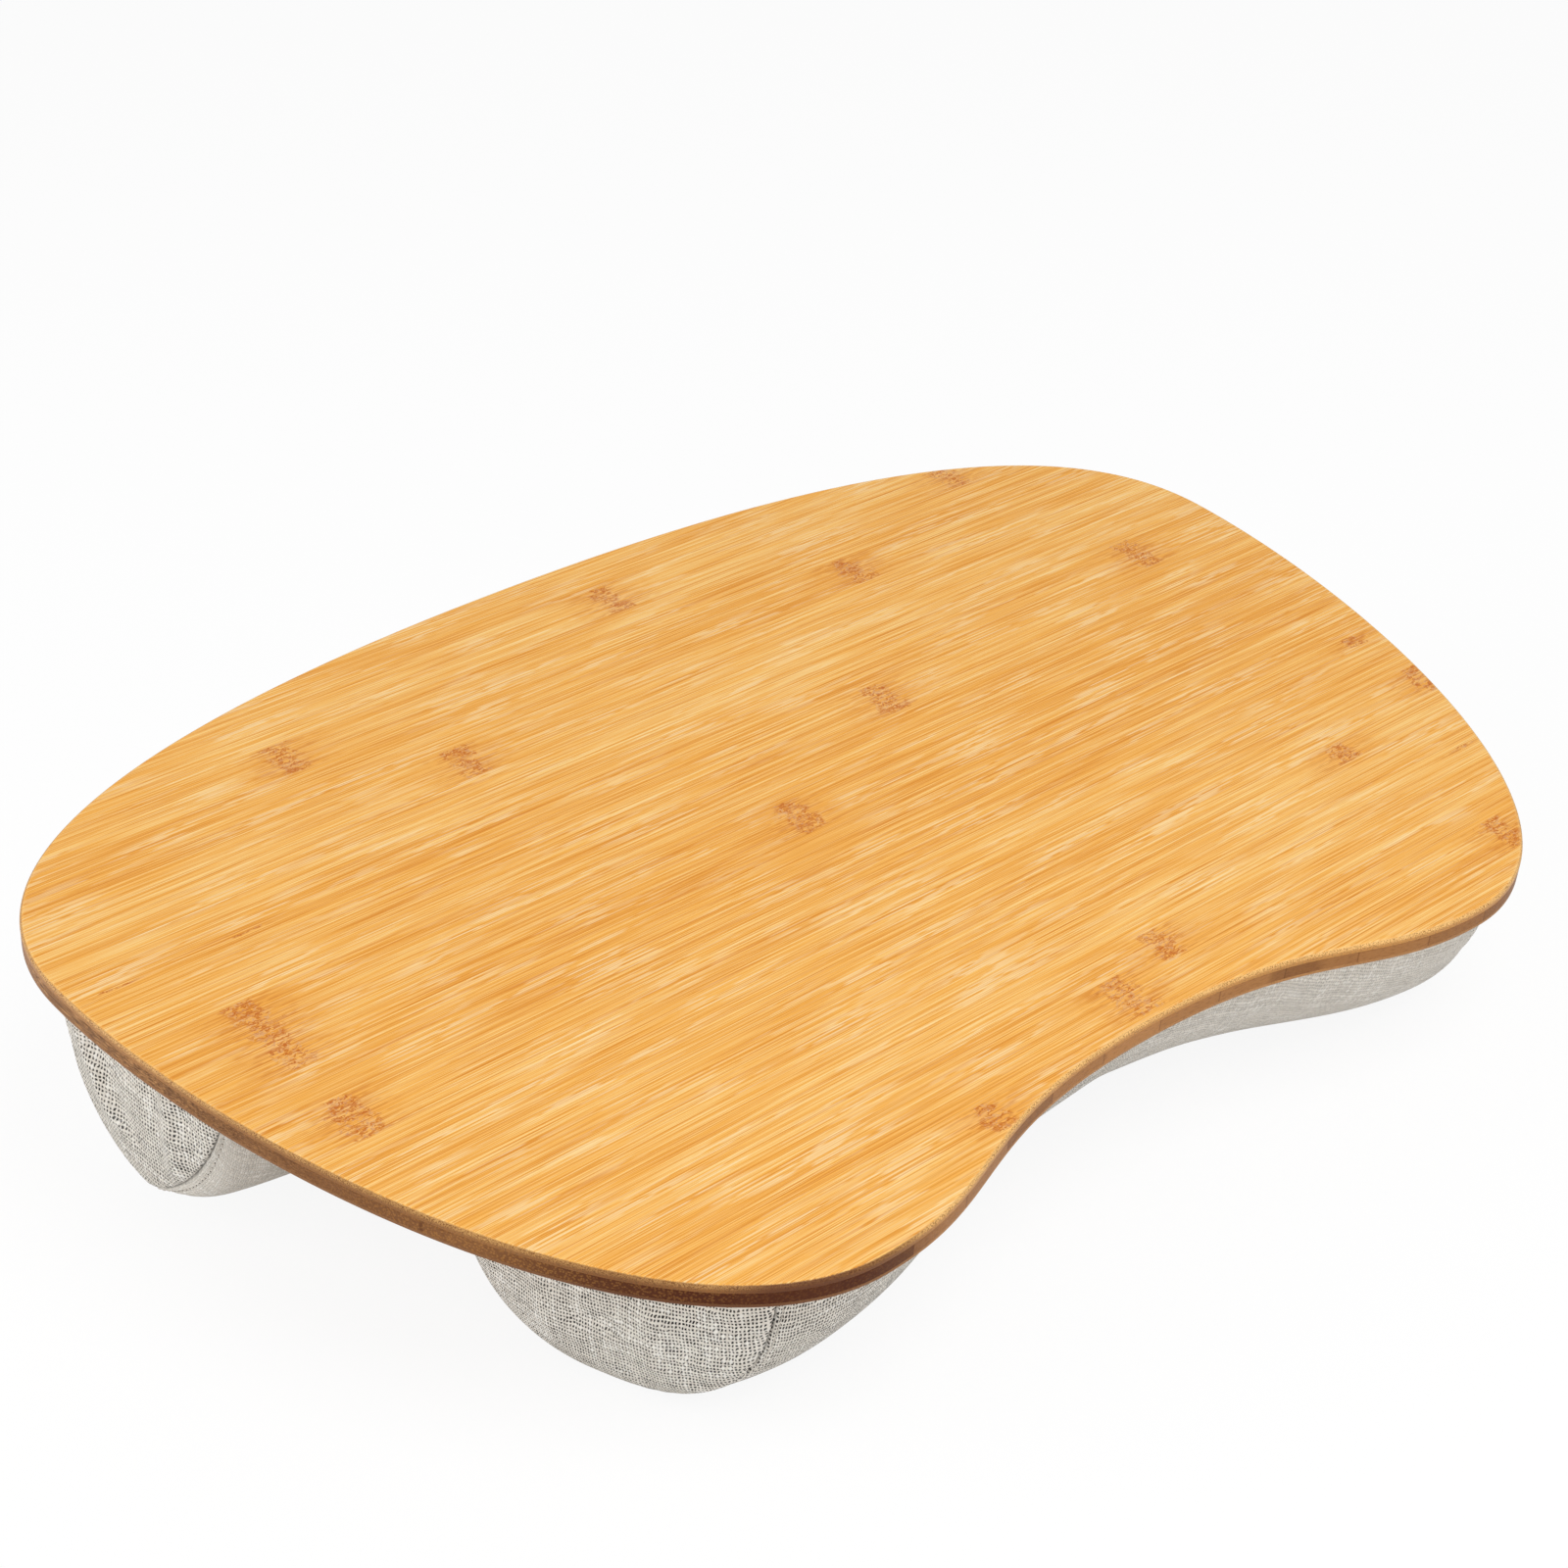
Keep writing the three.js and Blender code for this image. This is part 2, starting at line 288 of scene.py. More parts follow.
bamboo = {
    # noise drawn out along the grain: its rate along x and across, its seed and its detail
    "noises": {
        "broad": (0.005, 0.2, 3.0, 2.0),
        "fibre": (0.01, 1.5, 11.0, 3.0),
        "fine": (0.018, 4.2, 23.0, 2.0),
        "thread": (0.013, 2.8, 31.0, 1.0),
        "fleck": (0.11, 3.0, 47.0, 1.0),
    },
    # how far each noise, and the strip's own chance, moves the tone
    "shares": {"fibre": 1.0, "fine": 2.0, "broad": 0.4, "strip": 0.14},
    # from outside to inside a knuckle: across the strip in half spans, and along it in millimetres
    "knuckleAcross": (1.06, 0.94),
    "knuckleBand": (7.5, 3.0),
    "knuckleTail": (30.0, 5.0),
}


def makeBambooGrain():
    # Strips side by side across y, each with its own tone. Fibres are noise drawn out along x,
    # in three widths, with dark threads where the finest noise peaks.
    group, given = newGroup("bambooGrain", {
        "Vector": "Vector", "Strip": "Float", "Offset": "Float", "Light": "Color", "Middle": "Color",
        "Dark": "Color", "Contrast": "Float",
    }, {"Color": "Color", "Height": "Float", "Roughness": "Float"})
    axes = splitXyz(given["Vector"])
    across = calc("DIVIDE", calc("SUBTRACT", axes["Y"], given["Offset"]), given["Strip"])
    chance = chanceOf(calc("FLOOR", across))
    slide = product(chance, 37.0)

    def drawn(along, side, seed, detail):
        x = calc("MULTIPLY_ADD", axes["X"], along, calc("ADD", slide, seed))
        return noiseOf(joinXyz(x, product(axes["Y"], side), product(axes["Z"], side)), 1.0, detail, 0.55)

    noises = {name: drawn(*facts) for name, facts in bamboo["noises"].items()}
    noises["strip"] = chance
    tone = 0.5
    for name, share in bamboo["shares"].items():
        tone = addCentred(noises[name], share, tone)
    tone = addCentred(tone, given["Contrast"], 0.5)
    color = blendColor(remap(tone, 0.48, 0.88), given["Middle"], given["Light"])
    color = blendColor(remap(tone, 0.5, 0.1), color, given["Dark"])
    threads = product(remap(noises["thread"], 0.58, 0.68), 0.8)
    flecks = product(remap(noises["fleck"], 0.68, 0.78), 0.4)
    color = blendColor(calc("MAXIMUM", threads, flecks), color, given["Dark"])
    # a fine dark joint between strips
    edge = product(apart(calc("FRACT", across), 0.5), 2.0)
    joint = product(remap(edge, 0.97, 0.995), 0.35)
    color = blendColor(joint, color, given["Dark"])
    height = calc("SUBTRACT", calc("MULTIPLY_ADD", noises["fine"], 0.5, tone), joint)
    return finishGroup(group, Color=color, Height=height, Roughness=remap(tone, 0.1, 0.9, 0.5, 0.4))


def makeKnuckleMark():
    # Masks round one knuckle: a band that is wide across the strip and short along it, and fainter tails
    # both ways
    group, given = newGroup("knuckleMark", {
        "Vector": "Vector", "X": "Float", "Y": "Float", "Half": "Float", "Band so far": "Float",
        "Tail so far": "Float",
    }, {"Band": "Float", "Tail": "Float"})
    axes = splitXyz(given["Vector"])
    along = apart(axes["X"], given["X"])
    across = calc("DIVIDE", apart(axes["Y"], given["Y"]), given["Half"])
    within = remap(across, *bamboo["knuckleAcross"])
    band = product(within, remap(along, *bamboo["knuckleBand"]))
    tail = product(within, remap(along, *bamboo["knuckleTail"]))
    band = calc("MAXIMUM", band, given["Band so far"])
    tail = calc("MAXIMUM", tail, given["Tail so far"])
    return finishGroup(group, Band=band, Tail=tail)


def makeFibreDashes():
    # Short strokes along x: cells in staggered rows, each with a stroke of its own length and strength
    sizes = {"Vector": "Vector", "Length": "Float", "Thickness": "Float"}
    group, given = newGroup("fibreDashes", sizes, {"Dash": "Float"})
    axes = splitXyz(given["Vector"])
    y = calc("DIVIDE", axes["Y"], given["Thickness"])
    row = calc("FLOOR", y)
    x = calc("ADD", calc("DIVIDE", axes["X"], given["Length"]), product(chanceOf(row), 7.0))
    cell = joinXyz(calc("FLOOR", x), row, 0.0)
    cellNoise = addNode(group, "ShaderNodeTexWhiteNoise", {"noise_dimensions": "2D"}, Vector=cell)
    chance = cellNoise.outputs["Value"]
    dx = apart(calc("FRACT", x), 0.5)
    dy = apart(calc("FRACT", y), 0.5)
    reach = calc("MULTIPLY_ADD", chance, 0.3, 0.18)
    inside = remap(calc("SUBTRACT", dx, reach), 0.06, -0.1)
    inside = product(inside, remap(dy, 0.5, 0.28))
    return finishGroup(group, Dash=product(inside, remap(chance, 0.3, 0.75)))


bambooGrain = makeBambooGrain()
knuckleMark = makeKnuckleMark()
fibreDashes = makeFibreDashes()


def grainOf(place, finish):
    keys = ("strip", "offset", "light", "middle", "dark", "contrast")
    return useGroup(bambooGrain, Vector=place, **{key.capitalize(): finish[key] for key in keys})


faceFinish = {
    "strip": 20.3,
    "offset": 28.2,
    "light": tint(255, 216, 142),
    "middle": tint(248, 181, 82),
    "dark": tint(222, 140, 44),
    "knuckle": tint(194, 97, 12),
    "halo": tint(240, 166, 66),
    "paleFibreGlint": tint(255, 228, 176),
    "wallDark": tint(80, 36, 8),
    "wallLight": tint(198, 143, 78),
    "arris": tint(252, 206, 134),
    "contrast": 1.0,
    "surface": {"Coat Weight": 0.1, "Coat Roughness": 0.3, "Specular IOR Level": 0.18},
    "bump": (0.12, 0.0003),
    # strokes of fibre: length and thickness in millimetres
    "strokes": {"dashes": (3.4, 0.7), "short": (1.9, 0.5), "long": (14.0, 0.6), "fibres": (26.0, 0.8)},
    # knuckles of the bamboo, and a few thin dark streaks last: x, y and half their span across the strip, in
    # board millimetres
    "knuckles": [
        (-241.4, 18.2, 10.0), (-241.4, -1.9, 10.0), (-242.9, -42.1, 11.0), (4.2, -149.9, 10.4),
        (34.6, -136.7, 8.0), (-77.1, -166.6, 6.8), (252.5, -79.9, 8.6), (183.0, -95.9, 5.5),
        (192.3, -167.8, 8.7), (229.5, 58.5, 10.7), (209.8, 154.6, 8.4), (250.8, -44.4, 3.5),
        (-96.0, 99.2, 10.0), (62.0, 38.4, 10.0), (-18.0, -2.2, 10.0), (118.0, 119.5, 10.0),
        (-150.0, 140.0, 10.0), (20.0, 160.0, 10.0),
        (-239.7, 27.0, 1.1), (-270.5, 58.7, 0.5), (-217.3, 59.0, 0.5), (225.6, -121.6, 0.8),
    ],
}


def makeFaceBamboo():
    material, tree, shader = newMaterial("bambooFace")
    place = boardMillimetres(tree)
    axes = splitXyz(place)
    grain = grainOf(place, faceFinish)

    def strokes(name, vector):
        length, thickness = faceFinish["strokes"][name]
        return useGroup(fibreDashes, Vector=vector, Length=length, Thickness=thickness)["Dash"]

    # the bands wander a little along the grain, so they zigzag across the strip
    wandering = swayed(place, 0.2, 1.0, (14, 2, 0), (7, 1, 0))
    band, tail = 0.0, 0.0
    for x, y, half in faceFinish["knuckles"]:
        soFar = {"Band so far": band, "Tail so far": tail}
        marked = useGroup(knuckleMark, Vector=wandering, X=x, Y=y, Half=half, **soFar)
        band, tail = marked["Band"], marked["Tail"]
    # their strokes bend with the fibres
    bent = swayed(place, 0.5, 2.0, (3.0, 4.0, 0), (0, 0, 0))
    dashes = strokes("dashes", bent)
    short = strokes("short", bent)
    spots = product(band, calc("MAXIMUM", dashes, product(short, 0.8)))
    lines = product(product(tail, tail), strokes("long", place))
    # pale fibres, partly a painted glint on the lacquer, show in patches that are drawn out along the grain
    patches = noiseOf(joinXyz(product(axes["X"], 0.02), product(axes["Y"], 0.1), 0.0))
    patches = remap(patches, 0.42, 0.66, 0.06, 0.62)
    fibres = product(strokes("fibres", place), patches)
    color = blendColor(fibres, grain["Color"], faceFinish["paleFibreGlint"])
    color = blendColor(product(tail, 0.4), color, faceFinish["halo"])
    # pale strokes between a knuckle's dashes, partly a painted highlight
    pale = product(product(band, 0.9), remap(dashes, 0.25, 0.0))
    color = blendColor(product(pale, short), color, faceFinish["paleFibreGlint"])
    for marks, strength in ((lines, 0.5), (spots, 0.82)):
        color = blendColor(product(marks, strength), color, faceFinish["knuckle"])
    # the wall is scorched by the cut, and how light it is along the edge is partly painted light and shade;
    # it shows cut fibres as fine specks
    wall, tone, arris = [attributeOf(tree, name) for name in ("wall", "wallToneAndShade", "arris")]
    specks = noiseOf(place, 2.4, 2.0, 0.6)
    side = blendColor(tone, faceFinish["wallDark"], faceFinish["wallLight"])
    side = blendColor(remap(specks, 0.4, 0.65, 0.0, 0.3), side, faceFinish["arris"], "SOFT_LIGHT")
    side = blendColor(remap(specks, 0.48, 0.3, 0.0, 0.5), side, faceFinish["wallDark"])
    # where the rounded arris turns down, top and wall colours break into each other
    broken = addCentred(specks, 0.7, wall)
    color = blendColor(remap(broken, 0.28, 0.6), color, side)
    # the arris lightened in specks: partly worn lacquer, partly a painted highlight, stronger where the wall
    # is painted lighter
    arrisWearAndHighlight = product(product(arris, tone), remap(specks, 0.4, 0.58, 0.0, 0.9))
    color = blendColor(arrisWearAndHighlight, color, faceFinish["arris"])
    height = calc("MULTIPLY_ADD", spots, -0.6, grain["Height"])
    finishSurface(shader, faceFinish, color, height, Roughness=grain["Roughness"])
    return material


coreFinish = {
    "strip": 28.6,
    "offset": -194.0,
    "light": tint(190, 138, 84),
    "middle": tint(140, 96, 54),
    "dark": tint(92, 58, 34),
    "wallDark": tint(78, 34, 8),
    "wallLight": tint(196, 138, 82),
    "gold": tint(186, 130, 66),
    "contrast": 1.1,
    "surface": {"Specular IOR Level": 0.1},
    "bump": (0.25, 0.0003),
}


def makeCoreBamboo():
    # the core's strips run front to back, so x and y change places; their cut ends show as blocks along
    # the wall
    material, tree, shader = newMaterial("bambooCore")
    axes = splitXyz(boardMillimetres(tree))
    grain = grainOf(joinXyz(axes["Y"], axes["X"], axes["Z"]), coreFinish)
    names = ("endOn", "wallToneAndShade", "run", "flecks")
    endOn, tone, run, flecks = [attributeOf(tree, name) for name in names]
    across = calc("SUBTRACT", axes["X"], coreFinish["offset"])
    across = calc("DIVIDE", across, coreFinish["strip"])
    # each block's tone starts from the wall's tone along the edge, which is partly painted light and shade
    tone = addCentred(chanceOf(calc("FLOOR", across)), 0.22, tone)
    blocks = blendColor(remap(tone, 0.0, 1.0), coreFinish["wallDark"], coreFinish["wallLight"])
    # cut fibres are dots, golden where the flecks are strong
    dots = addNode(tree, "ShaderNodeTexVoronoi", None, Vector=joinXyz(run, axes["Z"], 0.0), Scale=1.15)
    dots = dots.outputs["Distance"]
    blocks = blendColor(product(remap(dots, 0.6, 0.2), flecks), blocks, coreFinish["gold"])
    soot = noiseOf(joinXyz(product(run, 0.3), axes["Z"], 0.0), 1.3, 3.0, 0.6)
    blocks = blendColor(remap(soot, 0.48, 0.75, 0.0, 0.4), blocks, coreFinish["wallDark"])
    edge = apart(calc("FRACT", across), 0.5)
    blocks = blendColor(remap(edge, 0.485, 0.497, 0.0, 0.45), blocks, coreFinish["wallDark"])
    color = blendColor(endOn, grain["Color"], blocks)
    height = calc("MULTIPLY_ADD", dots, -0.5, grain["Height"])
    finishSurface(shader, coreFinish, color, height, Roughness=grain["Roughness"])
    return material


backFinish = {
    "strip": 20.3,
    "offset": 20.0,
    "light": tint(236, 188, 120),
    "middle": tint(214, 158, 90),
    "dark": tint(170, 112, 56),
    "wallDark": tint(84, 40, 12),
    "wallLight": tint(198, 142, 84),
    "contrast": 1.0,
    "surface": {"Specular IOR Level": 0.25},
    "bump": (0.2, 0.0003),
}


def makeBackBamboo():
    material, tree, shader = newMaterial("bambooBack")
    place = boardMillimetres(tree)
    grain = grainOf(place, backFinish)
    wall, tone = [attributeOf(tree, name) for name in ("wall", "wallToneAndShade")]
    specks = noiseOf(place, 1.4, 2.0, 0.6)
    # the wall's tone along the edge is partly painted light and shade
    side = blendColor(tone, backFinish["wallDark"], backFinish["wallLight"])
    side = blendColor(remap(specks, 0.45, 0.7, 0.0, 0.4), side, backFinish["wallDark"])
    color = blendColor(remap(wall, 0.1, 0.6), grain["Color"], side)
    finishSurface(shader, backFinish, color, grain["Height"], Roughness=grain["Roughness"])
    return material


# Board of three plies

board = {
    "width": 571.0,
    "depth": 385.0,
    "lobeSpacing": 296.0,
    "cutoutDepth": 29.0,
    "widestFromFront": 265.0,
    "roundness": {
        "cutout": 0.58, "lobeInner": 0.37, "lobeOuter": 0.6, "sideFront": 0.4, "sideRear": 0.79, "rear": 0.51,
    },
    "outlinePoints": 720,
    "edgeSteps": 9,
    "wallSteps": 4,
    # first ring of the flat faces, inside the rounded edge, and the rings from there to the middle
    "flatStep": 0.3,
    "innerRings": (0.3, 0.65, 0.92),
    # an edge rounded more than this gets a lighter arris, partly wear and partly a painted highlight, and one
    # that turns more than this is kept sharp
    "arrisFrom": 1.0,
    "sharpFrom": 50,
    # end grain shows where the edge's outward direction has this much of y
    "endOnFrom": (0.12, 0.4),
    # each ply: underside, top, rounding of its lower edge and of its upper edge
    "plies": {
        "board_back_ply": (0.0, 1.47, 0.6, 0.05),
        "board_core_ply": (1.53, 6.07, 0.05, 0.05),
        "board_face_ply": (6.13, 9.0, 0.05, 1.5),
    },
    # how light the cut wall is, at these lengths along the edge from the middle of the cut-out, left below 0;
    # partly painted light and shade, darker on the shaded stretches round the left lobe, lighter on the
    # cut-out
    "toneAt": (-640, -440, -380, -317, -284, -240, -210, -192, -172, -150, -125, 0, 57, 59, 78, 80, 300),
    "wallToneAndShade": {
        "board_back_ply": (
            0.4, 0.46, 0.4, 0.37, 0.35, 0.1, 0.12, 0.14, 0.25, 0.41,
            0.8, 0.8, 0.85, 0.85, 0.85, 0.8, 0.5,
        ),
        "board_core_ply": (
            0.4, 0.54, 0.4, 0.44, 0.49, 0.2, 0.1, 0.0, 0.06, 0.22,
            0.5, 0.65, 0.6, 0.43, 0.44, 0.58, 0.5,
        ),
        "board_face_ply": (
            0.5, 0.6, 0.45, 0.36, 0.45, 0.24, 0.34, 0.08, 0.08, 0.22,
            0.9, 0.95, 0.95, 0.85, 0.9, 1.0, 0.8,
        ),
    },
    # how strongly golden fibre ends show in the core
    "flecks": (0.1, 0.0, 0.1, 0.4, 0.5, 0.3, 0.25, 0.1, 0.1, 0.1, 0.1, 0.1, 0.1, 0.1, 0.1, 0.1, 0.1),
}
frontY = -board["depth"] / 2
rearY = board["depth"] / 2
halfWidth = board["width"] / 2


def bezierCurve(*corners, count=400):
    # cubic curve: the four points weighted by the cubic terms of 1-t and t
    p0, p1, p2, p3 = np.array(corners, float)
    t = np.linspace(0, 1, count)[:, None]
    s = 1 - t
    return s ** 3 * p0 + 3 * s * s * t * p1 + 3 * s * t * t * p2 + t ** 3 * p3


lobeX = board["lobeSpacing"] / 2
waistY = frontY + board["cutoutDepth"]
widestY = frontY + board["widestFromFront"]
bend = board["roundness"]
cutoutCurve = bezierCurve(
    (0, waistY), (bend["cutout"] * lobeX, waistY),
    (lobeX - bend["lobeInner"] * lobeX, frontY), (lobeX, frontY),
)
sideCurve = bezierCurve(
    (lobeX, frontY), (lobeX + bend["lobeOuter"] * (halfWidth - lobeX), frontY),
    (halfWidth, widestY - bend["sideFront"] * board["widestFromFront"]), (halfWidth, widestY),
)
rearCurve = bezierCurve(
    (halfWidth, widestY), (halfWidth, widestY + bend["sideRear"] * (rearY - widestY)),
    (bend["rear"] * halfWidth, rearY), (0, rearY),
)
frontHalf = np.concatenate([cutoutCurve, sideCurve[1:]])
sideHalf = np.concatenate([sideCurve, rearCurve[1:]])


def frontEdgeY(x):
    return np.interp(np.abs(x), frontHalf[:, 0], frontHalf[:, 1])


def sideEdgeX(y):
    return np.interp(y, sideHalf[:, 1], sideHalf[:, 0])


def rearEdgeY(x):
    return np.interp(np.abs(x), rearCurve[::-1, 0], rearCurve[::-1, 1])


def boardOutline(count):
    # the right half's three curves and their mirror, spaced evenly by length, with outward normals
    right = np.concatenate([cutoutCurve, sideCurve[1:], rearCurve[1:]])
    left = right[-2:0:-1] * (-1, 1)
    loop = np.concatenate([right, left, right[:1]])
    run = runLength(loop)
    at = np.arange(count) / count * run[-1]
    edge = np.stack([np.interp(at, run, loop[:, 0]), np.interp(at, run, loop[:, 1])], axis=1)
    along = unit(np.roll(edge, -1, axis=0) - np.roll(edge, 1, axis=0))
    return edge, np.stack([along[:, 1], -along[:, 0]], axis=1)


def smallerRings(ring, shares):
    # copies of a ring drawn in to the middle, at its own height
    copies = np.repeat(ring[None], len(shares), axis=0)
    copies[..., :2] *= np.array(shares)[:, None, None]
    return copies


def makePly(name, low, high, lowEase, highEase, material, slotName):
    # Rings of the outline: from the middle of the underside outwards, round the lower edge, up the wall,
    # round the upper edge by a quarter circle, and back to the middle of the top.
    edge, outward = boardOutline(board["outlinePoints"])
    quarter = np.linspace(0, math.pi / 2, board["edgeSteps"])
    sine, cosine = np.sin(quarter), np.cos(quarter)
    # each row: how far inside the outline, height, and how much it belongs to the wall
    lowRows = np.stack([lowEase * (1 - sine), low + lowEase * (1 - cosine), sine], axis=1)
    highRows = np.stack([highEase * (1 - cosine), high - highEase * (1 - sine), cosine], axis=1)
    wallHeights = np.linspace(low + lowEase, high - highEase, board["wallSteps"])
    wallRows = [(0.0, z, 1.0) for z in wallHeights[1:-1]]
    first = (lowEase + board["flatStep"], low, 0.0)
    last = (highEase + board["flatStep"], high, 0.0)
    rows = np.array([first, *lowRows, *wallRows, *highRows, last])
    flat = edge[None] - outward[None] * rows[:, 0, None, None]
    rim = np.concatenate([flat, np.broadcast_to(rows[:, 1, None, None], (*flat.shape[:2], 1))], axis=2)
    shares = board["innerRings"]
    rings = np.concatenate([smallerRings(rim[0], shares), rim, smallerRings(rim[-1], shares[::-1])])
    count, n = rings.shape[:2]
    points = np.concatenate([rings.reshape(-1, 3), [[0, 0, low], [0, 0, high]]])
    i = np.arange(n)
    j = (i + 1) % n
    lowFan = np.stack([np.full(n, count * n), j, i], axis=1)
    highFan = np.stack([np.full(n, count * n + 1), (count - 1) * n + i, (count - 1) * n + j], axis=1)
    faces = gridQuads(count, n, closed=True).tolist() + lowFan.tolist() + highFan.tolist()
    piece = meshPiece(name + "_bamboo", onDesk(points).tolist(), faces, material)
    piece.data.set_sharp_from_angle(angle=math.radians(board["sharpFrom"]))
    inner = np.zeros(len(shares))
    arris = np.zeros(count)
    if highEase > board["arrisFrom"]:
        top = np.arange(count - len(shares) - 2 - board["edgeSteps"], count - len(shares))
        arris[top] = np.sin(np.linspace(0, math.pi, len(top)))
    length = np.linalg.norm(np.roll(edge, -1, axis=0) - edge, axis=1)
    run = np.cumsum(length) - length
    run = np.where(run > length.sum() / 2, run - length.sum(), run)
    # values by ring, then values along the edge; the two middle points have none
    values = {
        "wall": np.repeat(np.concatenate([inner, rows[:, 2], inner]), n),
        "arris": np.repeat(arris, n),
        "endOn": np.tile(smoothStep(*board["endOnFrom"], np.abs(outward[:, 1])), count),
        # the wall's tone along the edge, partly painted light and shade
        "wallToneAndShade": np.tile(np.interp(run, board["toneAt"], board["wallToneAndShade"][name]), count),
        "flecks": np.tile(np.interp(run, board["toneAt"], board["flecks"]), count),
        "run": np.tile(run, count),
    }
    for valueName, value in values.items():
        pointValue(piece, valueName, np.concatenate([value, [0, 0]]))
    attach(piece, "root")
    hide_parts(name)


plyLooks = {
    "board_back_ply": (makeBackBamboo(), "bamboo_back"),
    "board_core_ply": (makeCoreBamboo(), "bamboo_core"),
    "board_face_ply": (makeFaceBamboo(), "bamboo_face"),
}
for plyName, plySizes in board["plies"].items():
    makePly(plyName, *plySizes, *plyLooks[plyName])
print("lap desk: board made of", len(board["plies"]), "plies")


# Linen-look cloth

linen = {
    "pitchAcross": 1.05,
    "pitchDown": 1.75,
    "yarn": tint(236, 230, 219),
    "pale": tint(250, 247, 241),
    "grey": tint(206, 199, 188),
    # the dark of the weave's gaps and of the seam creases: partly the cloth's own dark, partly painted shade
    "gap": tint(30, 25, 20),
    "surface": {"Roughness": 0.95, "Specular IOR Level": 0.12, "Sheen Weight": 0.12, "Sheen Roughness": 0.5},
    "bump": (0.6, 0.0005),
}


def makeLinenWeave():
    # Plain weave on the cloth map. Each cell of the grid shows the yarn that is on top there, the cells
    # change over like a draughtboard, yarns are round across and dip at both ends, and the corners between
    # them are gaps.
    group, given = newGroup(
        "linenWeave", {"Vector": "Vector", "Pitch across": "Float", "Pitch down": "Float"},
        {"Tone": "Float", "Gap": "Float", "Height": "Float", "Slub": "Float"},
    )
    place = given["Vector"]
    axes = splitXyz(place)
    # the yarns sway, slowly and in short steps
    sway = addCentred(noiseOf(place, 0.06), 3.0, 0.0)
    sway = calc("ADD", sway, addCentred(noiseOf(place, 0.45, 1.0), 0.9, 0.0))
    u = calc("ADD", calc("DIVIDE", axes["X"], given["Pitch across"]), sway)
    v = calc("SUBTRACT", calc("DIVIDE", axes["Y"], given["Pitch down"]), sway)
    iu, iv = calc("FLOOR", u), calc("FLOOR", v)

    def roundOf(value):
        centred = calc("SUBTRACT", calc("FRACT", value), 0.5)
        return calc("COSINE", product(centred, math.pi))

    roundU, roundV = roundOf(u), roundOf(v)
    upright = calc("FLOORED_MODULO", calc("ADD", iu, iv), 2.0)
    level = calc("SUBTRACT", 1.0, upright)

    def onTop(warp, weft):
        # the warp's value where the warp is on top, else the weft's
        return calc("MULTIPLY_ADD", warp, upright, product(weft, level))

    def yarnUp(around, along):
        bow = calc("MULTIPLY_ADD", along, 0.55, 0.45)
        return product(calc("POWER", around, 0.6), bow)

    # slubs: thicker, paler lengths of a yarn
    slubUp = joinXyz(product(iu, 7.3), product(v, 0.07), 0.0)
    slubSide = joinXyz(product(u, 0.07), product(iv, 7.3), 9.0)
    slub = onTop(noiseOf(slubUp, 1.0, 1.0), noiseOf(slubSide, 1.0, 1.0))
    slub = remap(slub, 0.5, 0.72)
    warpTone = calc("MULTIPLY_ADD", chanceOf(iu), 0.5, 0.25)
    tone = onTop(warpTone, chanceOf(calc("ADD", iv, 531.7)))
    height = onTop(yarnUp(roundU, roundV), yarnUp(roundV, roundU))
    # the gaps are wider where the cloth is woven loosely
    loose = addCentred(noiseOf(place, 0.22, 2.0, 0.6), 0.7, 0.0)
    corner = calc("SUBTRACT", calc("MAXIMUM", roundU, roundV), loose)
    gap = product(remap(corner, 0.86, 0.56), calc("MULTIPLY_ADD", slub, -0.6, 1.0))
    height = calc("MULTIPLY_ADD", slub, 0.3, height)
    return finishGroup(group, Tone=tone, Gap=gap, Height=height, Slub=slub)


linenWeave = makeLinenWeave()


def makeLinen():
    material, tree, shader = newMaterial("linenCloth")
    uv = addNode(tree, "ShaderNodeUVMap", {"uv_map": "clothMap"}).outputs[0]
    place = addNode(tree, "ShaderNodeMapping", None, Vector=uv, Scale=(1000, 1000, 1000)).outputs[0]
    pitches = {"Pitch across": linen["pitchAcross"], "Pitch down": linen["pitchDown"]}
    weave = useGroup(linenWeave, Vector=place, **pitches)
    fuzz = noiseOf(place, 2.3, 2.0, 0.6)
    cloud = noiseOf(place, 0.035)
    opennessAndShade, creaseShade = [attributeOf(tree, name) for name in ("opennessAndShade", "creaseShade")]
    color = blendColor(weave["Tone"], linen["grey"], linen["yarn"])
    color = blendColor(product(weave["Slub"], 0.7), color, linen["pale"])
    color = blendColor(remap(fuzz, 0.45, 0.75, 0.0, 0.5), color, linen["pale"])
    # dark weave gaps: partly the darker cloth seen through them, partly painted shade in the openings between
    # yarns
    color = blendColor(product(weave["Gap"], opennessAndShade), color, linen["gap"])
    color = blendColor(remap(cloud, 0.35, 0.7, 0.0, 0.16), color, linen["grey"])
    # painted shade: the seams' creases darkened with the gap colour
    color = blendColor(product(creaseShade, 0.85), color, linen["gap"])
    height = calc("MULTIPLY_ADD", fuzz, 0.4, weave["Height"])
    finishSurface(shader, linen, color, height)
    return material


linenMaterial = makeLinen()


# Bolster covers

# top edges of the covers in plan: how far they reach, and how far they stay inside the board's edge
coverPlan = {
    "top": -0.25,
    "floorBend": 0.0005,
    "frontNear": {"pastLobe": 28.8, "inset": 10.2},
    "frontFar": {"fromFront": 122.0, "inset": 38.6},
    "rearNear": {"fromFront": 191.0, "inset": 13.0},
    "rearFar": {"sideInset": 18.2, "inset": 16.6},
    # how suddenly the form of the ends, and that of the rim beside the seam, take over
    "endPower": 4,
    "rimPower": 60,
}
bolsterTop = coverPlan["top"]


